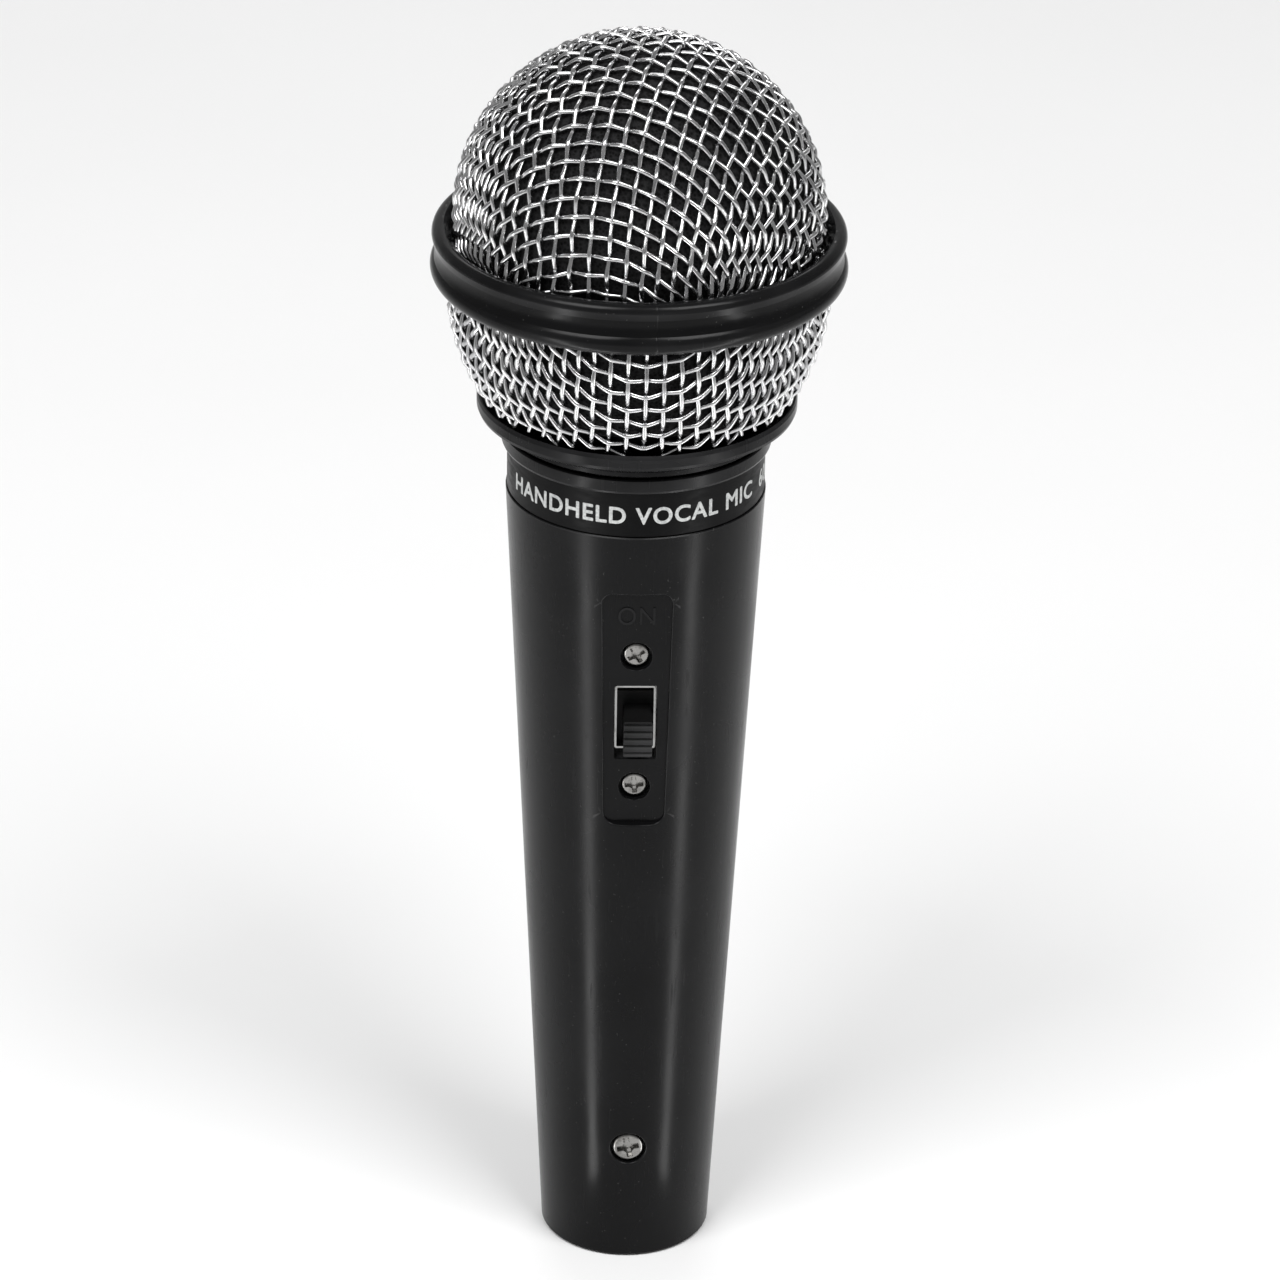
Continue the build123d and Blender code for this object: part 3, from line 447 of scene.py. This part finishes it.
# ---------------------------------------------------------------- woven wire
class FormedSurface:
    """Middle surface of a pressed wire bowl: an arc about the axis, then a straight cylinder beyond it.

    Heights are measured from the arc's centre towards the bowl's pole.
    """

    def __init__(self, radius, arc_radius):
        self.radius = radius
        self.arc_radius = arc_radius
        self.centre_r = radius - arc_radius

    def pole_height(self):
        """Height of the point where the arc meets the axis."""
        return math.sqrt(self.arc_radius**2 - self.centre_r**2)

    def distance_and_normal(self, point):
        """Signed distance from the surface and its outward unit normal."""
        off_axis = 1e-9
        rho = max(math.hypot(point[0], point[1]), off_axis)
        outward = np.array([point[0] / rho, point[1] / rho, 0.0])
        if point[2] < 0:
            return rho - self.radius, outward
        arm = rho - self.centre_r
        length = math.hypot(arm, point[2])
        normal = outward * arm / length
        normal[2] = point[2] / length
        return length - self.arc_radius, normal

    def meridian(self, pitch, count):
        """Points spaced by pitch from the pole down the arc and the cylinder, in the x, z plane."""
        angle = math.atan2(self.pole_height(), -self.centre_r)
        step = 2 * math.asin(pitch / 2 / self.arc_radius)
        points = [np.array([0.0, 0.0, self.pole_height()])]
        while len(points) <= count:
            angle -= step
            if angle >= 0:
                r = self.centre_r + self.arc_radius * math.cos(angle)
                points.append(np.array([r, 0.0, self.arc_radius * math.sin(angle)]))
            else:
                gap = self.radius - points[-1][0]
                points.append(np.array([self.radius, 0.0, points[-1][2] - math.sqrt(pitch**2 - gap**2)]))
        return points


def next_crossing(surface, side_a, side_b, back, pitch):
    """The surface point at one pitch from two neighbouring crossings, on the far side from back."""
    converged, tiny = 1e-9, 1e-12
    point = side_a + side_b - back
    for _ in range(NET_NEWTON_STEPS):
        gap, normal = surface.distance_and_normal(point)
        to_a = point - side_a
        to_b = point - side_b
        error = np.array([to_a @ to_a - pitch**2, to_b @ to_b - pitch**2, gap])
        move = np.linalg.solve(np.array([2 * to_a, 2 * to_b, normal]), -error)
        length = np.linalg.norm(move)
        point = point + move * min(1.0, pitch / 3 / max(length, tiny))
        if length < converged:
            break
    return point


def woven_quadrant(surface, pitch, lowest):
    """Crossings (i, j) of one quarter of the net, from the pole down to the height lowest."""
    count = int((math.pi / 2 * surface.arc_radius - lowest) / pitch) + 2
    line = surface.meridian(pitch, count)
    net = {}
    for k, point in enumerate(line):
        net[k, 0] = point
        net[0, k] = point[[1, 0, 2]]
    for total in range(2, 2 * count):
        for i in range(max(1, total - count), min(total, count + 1)):
            j = total - i
            around = [net.get((i - 1, j)), net.get((i, j - 1)), net.get((i - 1, j - 1))]
            if any(p is None for p in around):
                continue
            point = next_crossing(surface, *around, pitch)
            if point[2] > lowest - pitch:
                net[i, j] = point
    return net


def woven_net(surface, pitch, lowest):
    """The whole net by mirroring one quarter."""
    net = {}
    for (i, j), point in woven_quadrant(surface, pitch, lowest).items():
        for side_i in (1, -1):
            for side_j in (1, -1):
                net[i * side_i, j * side_j] = point * np.array([side_i, side_j, 1.0])
    return net


def crossing_shift(point, amount, seed):
    """Small smooth sideways shift of a crossing, in millimetres, from hand forming."""
    fine_per_mm, wide_per_mm = 0.31, 0.09
    fine_share = 0.45
    fine = noise.noise_vector(Vector(point) * fine_per_mm + Vector((seed, 0, 0)))
    wide = noise.noise_vector(Vector(point) * wide_per_mm + Vector((0, seed, 0)))
    return np.array(fine) * amount * fine_share + np.array(wide) * amount


def smooth_path(points, steps):
    """Catmull-Rom samples through points, with the place of each sample along the line."""
    padded = [2 * points[0] - points[1], *points, 2 * points[-1] - points[-2]]
    samples, places = [], []
    for k in range(len(points) - 1):
        p0, p1, p2, p3 = padded[k:k + 4]
        for step in range(steps):
            t = step / steps
            square = (2 * p0 - 5 * p1 + 4 * p2 - p3) * t**2
            cube = (3 * p1 - p0 - 3 * p2 + p3) * t**3
            samples.append(0.5 * (2 * p1 + (p2 - p0) * t + square + cube))
            places.append(k + t)
    samples.append(points[-1])
    places.append(len(points) - 1)
    return samples, places


def tube_rings(path, normals, radius, sides):
    """Rings of a round tube round a path, one ring for each path point."""
    path = np.array(path)
    normals = np.array(normals)
    tangents = np.gradient(path, axis=0)
    tangents /= np.linalg.norm(tangents, axis=1)[:, None]
    across = np.cross(tangents, normals)
    across /= np.linalg.norm(across, axis=1)[:, None]
    upward = np.cross(across, tangents)
    angles = np.arange(sides) * 2 * math.pi / sides
    return path[:, None] + radius * (
        np.cos(angles)[None, :, None] * across[:, None] + np.sin(angles)[None, :, None] * upward[:, None]
    )


def add_tube(vertices, faces, rings):
    """Adds a closed tube made of rings to the growing vertex and face lists."""
    start = len(vertices)
    count, sides = rings.shape[:2]
    vertices.extend(rings.reshape(-1, 3))
    for ring in range(count - 1):
        low = start + ring * sides
        for side in range(sides):
            after = (side + 1) % sides
            faces.append((low + side, low + after, low + sides + after, low + sides + side))
    faces.append(tuple(start + side for side in reversed(range(sides))))
    faces.append(tuple(start + (count - 1) * sides + side for side in range(sides)))


def woven_wires(surface, pitch, lowest, highest, turn_deg, wobble, seed):
    """Vertices and faces of every wire of a woven bowl, cut between two heights above the arc's centre.

    wobble(point) is how far a crossing may be off its place.
    """
    net = woven_net(surface, pitch, lowest)
    net = {key: point + crossing_shift(point, wobble(point), seed) for key, point in net.items()}
    reach = max(abs(i) for i, _ in net) + 1
    vertices, faces = [], []
    for family in (0, 1):
        for line in range(-reach, reach + 1):
            run = []
            for place in range(-reach, reach + 2):
                key = (line, place) if family == 0 else (place, line)
                point = net.get(key)
                if point is not None and lowest - pitch < point[2] < highest:
                    run.append((place, point))
                    continue
                if len(run) > 2:
                    add_wire(vertices, faces, surface, run, line, family, lowest)
                run = []
    turn = Matrix.Rotation(math.radians(turn_deg), 3, "Z")
    return np.array(vertices) @ np.array(turn).T, faces


def add_wire(vertices, faces, surface, run, line, family, lowest):
    """One wire: over and under the crossing wires, cut off square at the height lowest."""
    first = run[0][0]
    samples, places = smooth_path([point for _, point in run], STEPS_PER_CELL)
    path, normals = [], []
    for sample, place in zip(samples, places):
        gap, normal = surface.distance_and_normal(sample)
        phase = math.cos(math.pi * (first + place + line + family))
        lift = WIRE_R * math.asin(WIRE_CRIMP * phase) / math.asin(WIRE_CRIMP)
        path.append(sample - gap * normal + lift * normal)
        normals.append(normal)
    keep = [k for k, point in enumerate(path) if point[2] >= lowest]
    if len(keep) < STEPS_PER_CELL:
        return
    low, high = keep[0], keep[-1] + 1
    add_tube(vertices, faces, tube_rings(path[low:high], normals[low:high], WIRE_R, WIRE_SIDES))


def mesh_object(name, vertices, faces, material, body, node):
    """A smooth-shaded piece from millimetre vertices, riding on a body in place of a CAD node."""
    mesh = bpy.data.meshes.new(name)
    mesh.from_pydata([tuple(float(c) * MM for c in v) for v in vertices], [], faces)
    mesh.validate()
    for polygon in mesh.polygons:
        polygon.use_smooth = len(polygon.vertices) == 4
    piece = bpy.data.objects.new(name, mesh)
    bpy.context.scene.collection.objects.link(piece)
    mesh.materials.append(material)
    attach(piece, body)
    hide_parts(node)
    return piece


def node_box_mm(name):
    """A CAD node's lowest and highest corner in millimetres."""
    low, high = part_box(name)
    return low / MM, high / MM


def dome_wires(material):
    """Upper half of the ball, formed from flat woven mesh and less even near its edge."""
    least_wobble, edge_wobble, wobble_height = 0.16, 0.5, 13.0
    low, high = node_box_mm("grille_dome")
    radius = high.x
    centre_z = high.z - radius
    surface = FormedSurface(radius - 2 * WIRE_R, radius - 2 * WIRE_R)
    lowest = low.z + MESH_EDGE_INSET - centre_z

    def wobble(point):
        return least_wobble + edge_wobble * max(0.0, 1 - max(0.0, point[2] - lowest) / wobble_height)

    vertices, faces = woven_wires(surface, DOME_PITCH, lowest, radius, DOME_TURN_DEG, wobble, DOME_SEED)
    vertices[:, 2] += centre_z
    mesh_object("dome_wire_mesh", vertices, faces, material, "grille", "grille_dome")


def basket_wires(material):
    """Lower bowl, formed the other way up, open below and equally uneven all over."""
    even_wobble = 0.12
    low, high = node_box_mm("grille_basket")
    radius = high.x
    centre_z = high.z - BASKET_RIM_HEIGHT
    surface = FormedSurface(radius - 2 * WIRE_R, BASKET_ARC_R - 2 * WIRE_R)
    top = centre_z - high.z + MESH_EDGE_INSET
    bottom = centre_z - low.z - MESH_EDGE_INSET

    def wobble(_):
        return even_wobble

    vertices, faces = woven_wires(surface, BASKET_PITCH, top, bottom, BASKET_TURN_DEG, wobble, BASKET_SEED)
    vertices[:, 2] = centre_z - vertices[:, 2]
    faces = [tuple(reversed(face)) for face in faces]
    mesh_object("basket_wire_mesh", vertices, faces, material, "grille", "grille_basket")


# ---------------------------------------------------------------- foam liners
def foam_shell(name, node, body, material, outline):
    """Closed foam liner turned from an outline of (radius, z), with a surface uneven inwards."""
    wide_per_mm, wide_mm = 0.35, 0.12
    fine_per_mm, fine_mm = 1.3, 0.05
    sunk_mm = 0.12
    vertices, faces = [], []
    for radius, z in outline:
        for side in range(FOAM_SIDES):
            angle = 2 * math.pi * side / FOAM_SIDES
            point = Vector((radius * math.cos(angle), radius * math.sin(angle), z))
            uneven = noise.noise(point * wide_per_mm) * wide_mm + noise.noise(point * fine_per_mm) * fine_mm
            vertices.append(point + Vector((math.cos(angle), math.sin(angle), 0.0)) * (uneven - sunk_mm))
    count = len(outline)
    for ring in range(count):
        for side in range(FOAM_SIDES):
            after = (side + 1) % FOAM_SIDES
            here, there = ring * FOAM_SIDES, (ring + 1) % count * FOAM_SIDES
            faces.append((here + side, here + after, there + after, there + side))
    piece = mesh_object(name, vertices, faces, material, body, node)


def arc_points(centre_r, centre_z, radius, start_deg, end_deg, count):
    """Points along an arc in the (radius, z) plane."""
    angles = [math.radians(start_deg + (end_deg - start_deg) * k / (count - 1)) for k in range(count)]
    return [(centre_r + radius * math.cos(a), centre_z + radius * math.sin(a)) for a in angles]


def dome_foam(material):
    """Foam cap inside the dome."""
    low, high = node_box_mm("dome_foam")
    radius = high.x
    centre_z = high.z - radius
    inner_r = radius - DOME_FOAM_THICKNESS
    foot_z = low.z + FOAM_EDGE_INSET
    pole_deg = 89.6
    steps = 60
    outer = arc_points(0.0, centre_z, radius, 0.0, pole_deg, steps)
    inner = arc_points(0.0, centre_z, inner_r, pole_deg, 0.0, steps)
    outline = [(radius, foot_z), *outer, *inner, (inner_r, foot_z)]
    foam_shell("dome_foam_liner", "dome_foam", "grille", material, outline)


def basket_foam(material):
    """Foam ring inside the lower bowl."""
    low, high = node_box_mm("basket_foam")
    basket_high = node_box_mm("grille_basket")[1]
    radius = high.x
    centre_z = basket_high.z - BASKET_RIM_HEIGHT
    depth = basket_high.x - radius
    centre_r = radius - (BASKET_ARC_R - depth)
    steps = 30

    def arc(inset):
        reach = BASKET_ARC_R - depth - inset
        below = math.degrees(math.asin((centre_z - low.z - FOAM_EDGE_INSET) / reach))
        return arc_points(centre_r, centre_z, reach, -below, 0.0, steps)

    top = high.z - FOAM_EDGE_INSET
    rim = [(radius, top), (radius - BASKET_FOAM_THICKNESS, top)]
    outline = [*arc(0.0), *rim, *reversed(arc(BASKET_FOAM_THICKNESS))]
    foam_shell("basket_foam_liner", "basket_foam", "grille", material, outline)


# ---------------------------------------------------------------- lettering
def text_mesh(name, words, height_mm, depth_mm):
    """Plain sans-serif capitals of that cap height as a mesh, centred on x = 0, in millimetres."""
    curve = bpy.data.curves.new(name, "FONT")
    curve.body = words
    curve.size = height_mm / CAP_HEIGHT_SHARE
    curve.space_character = 1.1
    curve.extrude = depth_mm / 2
    curve.align_x = "CENTER"
    curve.resolution_u = 6
    holder = bpy.data.objects.new(name + "_outline", curve)
    bpy.context.scene.collection.objects.link(holder)
    bpy.context.view_layer.update()
    mesh = bpy.data.meshes.new_from_object(holder.evaluated_get(bpy.context.evaluated_depsgraph_get()))
    bpy.data.objects.remove(holder)
    return mesh


def thicken_strokes(mesh, reach):
    """Makes a flat text mesh bolder by copies shifted each way, each sunk a little more than the last."""
    ways, sink = 8, 0.001
    work = bmesh.new()
    work.from_mesh(mesh)
    plain = work.faces[:] + work.edges[:] + work.verts[:]
    for k in range(ways):
        angle = math.radians(360 / ways * k)
        copy = bmesh.ops.duplicate(work, geom=plain)["geom"]
        aside = Vector((math.cos(angle), math.sin(angle), 0.0)) * reach
        shift = aside - Vector((0.0, 0.0, sink * (k + 1)))
        copied_points = [item for item in copy if isinstance(item, bmesh.types.BMVert)]
        bmesh.ops.translate(work, verts=copied_points, vec=shift)
    work.to_mesh(mesh)
    work.free()


def finish_text(name, mesh, place, material, body):
    """Moves a text mesh's points by place(x, y, z) and makes it a piece."""
    for vertex in mesh.vertices:
        vertex.co = Vector(place(*vertex.co)) * MM
    piece = bpy.data.objects.new(name, mesh)
    bpy.context.scene.collection.objects.link(piece)
    mesh.materials.clear()
    mesh.materials.append(material)
    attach(piece, body)


def subdivide_long_edges(mesh, longest):
    """Splits edges until a flat text mesh can bend smoothly."""
    most_rounds = 6
    work = bmesh.new()
    work.from_mesh(mesh)
    bmesh.ops.triangulate(work, faces=work.faces[:])
    for _ in range(most_rounds):
        long_edges = [e for e in work.edges if e.calc_length() > longest]
        if not long_edges:
            break
        bmesh.ops.subdivide_edges(work, edges=long_edges, cuts=1)
        bmesh.ops.triangulate(work, faces=work.faces[:])
    work.to_mesh(mesh)
    work.free()


def label_text(material):
    """Generic capitals round the front of the neck band."""
    low, high = node_box_mm("label_band")
    radius = high.x
    middle_z = (low.z + high.z) / 2
    mesh = text_mesh("label_words", LABEL_WORDS, LABEL_CAP_HEIGHT, LABEL_INK_DEPTH)
    subdivide_long_edges(mesh, LABEL_LONGEST_EDGE)
    thicken_strokes(mesh, LABEL_STROKE_REACH)
    left = min(v.co.x for v in mesh.vertices)

    def place(x, y, z):
        angle = math.radians(LABEL_START_DEG) + (x - left) / radius
        r = radius + LABEL_INK_STANDOFF + z
        return r * math.sin(angle), -r * math.cos(angle), middle_z + y - LABEL_CAP_HEIGHT / 2

    finish_text("label_lettering", mesh, place, material, "handle")


def switch_text(material):
    """Raised ON above the switch, moulded in the pocket's floor."""
    mesh = text_mesh("switch_words", SWITCH_WORDS, SWITCH_CAP_HEIGHT, SWITCH_WORDS_DEPTH)
    origin, across, upward, outward = switch_axes()

    def place(x, y, z):
        sideways = across * x * SWITCH_WORDS_WIDTH
        rise = upward * (SWITCH_WORDS_V + y - SWITCH_CAP_HEIGHT / 2)
        return origin + sideways + rise + outward * (z + SWITCH_WORDS_RAISED)

    finish_text("switch_on_lettering", mesh, place, material, "handle")


def switch_axes():
    """Origin and axes of the switch's pocket floor, in millimetres."""
    slide = next(j for j in frame["joints"] if j["name"] == "switch_slide")
    upward = Vector(slide["axis"]).normalized()
    across = Vector((1.0, 0.0, 0.0))
    outward = across.cross(upward)
    wall_r = HANDLE_FOOT_R - SWITCH_CENTRE_Z * upward.y / upward.z
    return Vector((0.0, POCKET_DEPTH / upward.z - wall_r, SWITCH_CENTRE_Z)), across, upward, outward


# ---------------------------------------------------------------- CAD nodes' materials
def paint_cad_nodes():
    """Gives each CAD node that stays its finished material."""
    handle = black_plastic("handle_gloss_black", exact=True)
    band = black_plastic("band_gloss_black", rough=(0.16, 0.26), scratch=0.5, seam=True)
    # darker base colour than the handle is painted shade for the lip wall under the grille; the specular is
    # lowered for the same darker look
    collar = black_plastic(
        "collar_black_painted_shade",
        colour=(0.0022, 0.0022, 0.0024),
        rough=(0.2, 0.32),
        specular=0.085,
        scratch=0.5,
    )
    button = black_plastic(
        "button_satin_black", colour=(0.005, 0.005, 0.005), rough=(0.34, 0.46), scratch=0.3
    )
    screw = nickel(
        "screw_nickel_plate",
        colour=(0.3, 0.295, 0.285),
        rough=(0.2, 0.36),
        tarnish=(0.07, 0.065, 0.06),
        tarnish_amount=0.9,
    )
    frame_metal = nickel(
        "switch_frame_nickel",
        colour=(0.38, 0.38, 0.375),
        rough=(0.14, 0.26),
        tarnish=(0.14, 0.135, 0.12),
        tarnish_amount=0.6,
    )
    pins = nickel(
        "pin_nickel_plate",
        colour=(0.74, 0.72, 0.68),
        rough=(0.1, 0.2),
        tarnish=(0.3, 0.28, 0.25),
        tarnish_amount=0.3,
    )
    rubber = soft_material("black_rubber", (0.012, 0.012, 0.012), 0.75)
    nylon = soft_material("insert_nylon", (0.016, 0.016, 0.017), 0.5)
    moulding = soft_material("capsule_moulding", (0.03, 0.03, 0.032), 0.45)
    phenolic = soft_material("phenolic_board", (0.2, 0.09, 0.035), 0.5)
    ferrite = soft_material("ferrite_magnet", (0.05, 0.048, 0.047), 0.55)
    film = soft_material("clear_film", (0.55, 0.58, 0.6), 0.25, 0.002)
    yoke = metal_material("yoke_zinc_plate", (0.5, 0.5, 0.51), 0.35)
    brass = metal_material("tinned_brass", (0.66, 0.56, 0.36), 0.3)
    copper = metal_material("enamelled_copper", (0.6, 0.25, 0.12), 0.3)
    finishes = {
        "handle_body": handle, "grille_band": band, "grille_collar": collar, "switch_button": button,
        "switch_screws": screw, "connector_screw": screw, "switch_frame": frame_metal,
        "contact_pin_1": pins, "contact_pin_2": pins, "contact_pin_3": pins,
        "neck_gasket": rubber, "shock_mount": rubber, "connector_insert": nylon, "label_band": label_film(),
        "capsule_rear_case": moulding, "capsule_housing": moulding, "capsule_front_cap": moulding,
        "switch_base": phenolic, "capsule_terminal_board": phenolic, "capsule_magnet": ferrite,
        "capsule_diaphragm": film, "capsule_yoke": yoke, "capsule_pole_plate": yoke,
        "switch_terminals": brass, "capsule_terminals": brass, "switch_contact": brass,
        "voice_coil": copper,
        "wire_capsule_to_switch": soft_material("pvc_red", (0.35, 0.02, 0.015), 0.4),
        "wire_capsule_to_pin_3": soft_material("pvc_black", (0.015, 0.015, 0.015), 0.4),
        "wire_switch_to_pin_2": soft_material("pvc_white", (0.6, 0.59, 0.56), 0.4),
        "wire_switch_to_pin_1": soft_material("pvc_yellow", (0.6, 0.42, 0.04), 0.4),
    }
    for name, material in finishes.items():
        nodes[name].data.materials.clear()
        nodes[name].data.materials.append(material)
    for name in ("handle_body", "grille_band", "grille_collar", "label_band", "switch_button"):
        smooth = nodes[name].modifiers.new("face_weighted_shading", "WEIGHTED_NORMAL")
        smooth.keep_sharp = True


# ---------------------------------------------------------------- studio
def studio_floor():
    """Pale seamless floor and backdrop, joined by a quarter round."""
    size, back, height, bend = 3.0, 1.5, 2.2, 0.5
    bend_steps, clouds_per_m = 6, 8.0
    profile = [(-size, 0.0), (back - bend, 0.0)]
    for k in range(1, bend_steps + 1):
        a = math.radians(90 / bend_steps * k)
        profile.append((back - bend + bend * math.sin(a), bend - bend * math.cos(a)))
    profile.append((back, height))
    vertices, faces = [], []
    for y, z in profile:
        vertices += [(-size, y, z), (size, y, z)]
    for k in range(len(profile) - 1):
        faces.append((2 * k, 2 * k + 1, 2 * k + 3, 2 * k + 2))
    mesh = bpy.data.meshes.new("studio_floor")
    mesh.from_pydata(vertices, [], faces)
    for polygon in mesh.polygons:
        polygon.use_smooth = True
    floor = bpy.data.objects.new("studio_floor", mesh)
    bpy.context.scene.collection.objects.link(floor)
    material, tree, shader = new_material("pale_floor")
    shader.inputs["Roughness"].default_value = 0.9
    shader.inputs["Specular IOR Level"].default_value = 0.1
    mottled = noise_value(tree, 1.0, clouds_per_m, 2.0)
    colour = mix_colours(tree, mottled, (0.86, 0.86, 0.86), (0.9, 0.9, 0.9))
    tree.links.new(colour, shader.inputs["Base Color"])
    mesh.materials.append(material)


def area_light(name, place, facing, size, power):
    """A soft rectangular light that isn't seen itself; facing is the direction it shines along."""
    data = bpy.data.lights.new(name, "AREA")
    data.shape = "RECTANGLE"
    data.size, data.size_y = size
    data.energy = power
    light = bpy.data.objects.new(name, data)
    light.location = place
    light.rotation_euler = (-facing).to_track_quat("Z", "Y").to_euler()
    light.visible_camera = False
    bpy.context.scene.collection.objects.link(light)
    return light


def direction(azimuth_deg, elevation_deg):
    """Unit vector from the microphone towards a place in front of it, to its right or above it."""
    a, e = math.radians(azimuth_deg), math.radians(elevation_deg)
    return Vector((math.sin(a) * math.cos(e), -math.cos(a) * math.cos(e), math.sin(e)))


def floor_strip(name, normal_deg, radiance):
    """Low light fanning out along the floor, mirrored as an upright highlight on the tapered handle.

    normal_deg is the azimuth on the handle, from the camera's, where the highlight stands.
    """
    handle_r, above_floor = 0.0145, 0.002
    fan = math.radians(7.0)
    reach = [0.012, 0.03, 0.055, 0.09, 0.14, 0.21, 0.32, 0.5]
    normal = math.radians(CAMERA_AZIMUTH_DEG + normal_deg)
    away = math.radians(CAMERA_AZIMUTH_DEG + normal_deg * 2)
    foot = Vector((math.sin(normal), -math.cos(normal), 0.0)) * handle_r
    way = Vector((math.sin(away), -math.cos(away), 0.0))
    for k, (near, far) in enumerate(zip(reach, reach[1:])):
        middle = (near + far) / 2
        width = (middle + handle_r) * fan
        place = foot + way * middle + Vector((0.0, 0.0, above_floor))
        power = radiance * math.pi * width * (far - near)
        light = area_light(f"{name}_{k}", place, Vector((0.0, 0.0, 1.0)), (width, far - near), power)
        light.rotation_euler = (math.pi, 0.0, away)


def softbox(name, azimuth_deg, elevation_deg, size, power):
    """Area light a metre from the microphone's middle, turned to it."""
    middle = Vector((0.0, 0.0, 0.1))
    distance = 1.0
    way = direction(azimuth_deg, elevation_deg)
    area_light(name, middle + way * distance, -way, size, power)


def studio_lights():
    """Two overhead softboxes in front, one weaker behind, and a low strip each side of the camera."""
    world_strength = 0.28
    softbox("softbox_l", -40, 55, (0.45, 0.45), 5.8)
    softbox("softbox_r", 40, 55, (0.45, 0.45), 5.8)
    floor_strip("left_strip", normal_deg=-22.5, radiance=9.0)
    floor_strip("right_strip", normal_deg=28.0, radiance=7.5)
    softbox("back_softbox", 180, 45, (0.6, 0.3), 2.4)
    world = bpy.data.worlds.new("studio_world")
    world.use_nodes = True
    background = world.node_tree.nodes["Background"]
    background.inputs["Color"].default_value = (1.0, 1.0, 1.0, 1.0)
    background.inputs["Strength"].default_value = world_strength
    bpy.context.scene.world = world
    bpy.context.scene.view_settings.view_transform = "Standard"


def studio_camera():
    """Camera in front of the switch, looking down on the microphone."""
    azimuth = math.radians(CAMERA_AZIMUTH_DEG)
    roll = math.radians(CAMERA_ROLL_DEG)
    right = Vector((math.cos(azimuth), math.sin(azimuth), 0.0))
    back = direction(CAMERA_AZIMUTH_DEG, CAMERA_ELEVATION_DEG)
    upward = back.cross(right)
    side_mm, height_mm = CAMERA_AIM_MM
    aim = right * side_mm * MM + Vector((0.0, 0.0, height_mm * MM))
    rolled_right = right * math.cos(roll) + upward * math.sin(roll)
    rolled_up = upward * math.cos(roll) - right * math.sin(roll)
    data = bpy.data.cameras.new("camera")
    data.sensor_width = 36.0
    data.lens = CAMERA_LENS_MM
    data.dof.use_dof = False
    data.clip_start, data.clip_end = 0.01, 20.0
    camera = bpy.data.objects.new("camera", data)
    bpy.context.scene.collection.objects.link(camera)
    rotation = Matrix((rolled_right, rolled_up, back)).transposed().to_4x4()
    camera.matrix_world = Matrix.Translation(aim + back * CAMERA_DISTANCE_MM * MM) @ rotation
    bpy.context.scene.camera = camera


studio_camera()
studio_floor()
studio_lights()
paint_cad_nodes()
wire_finish = wire_metal()
dome_wires(wire_finish)
basket_wires(wire_finish)
foam_finish = foam_material()
dome_foam(foam_finish)
basket_foam(foam_finish)
label_text(label_ink())
# the lighter edges of the raised ON letters are partly a painted highlight along their outlines
switch_text(black_plastic("marking_gloss_black", colour=(0.004, 0.004, 0.0042), edge_wear_and_highlight=0.12))
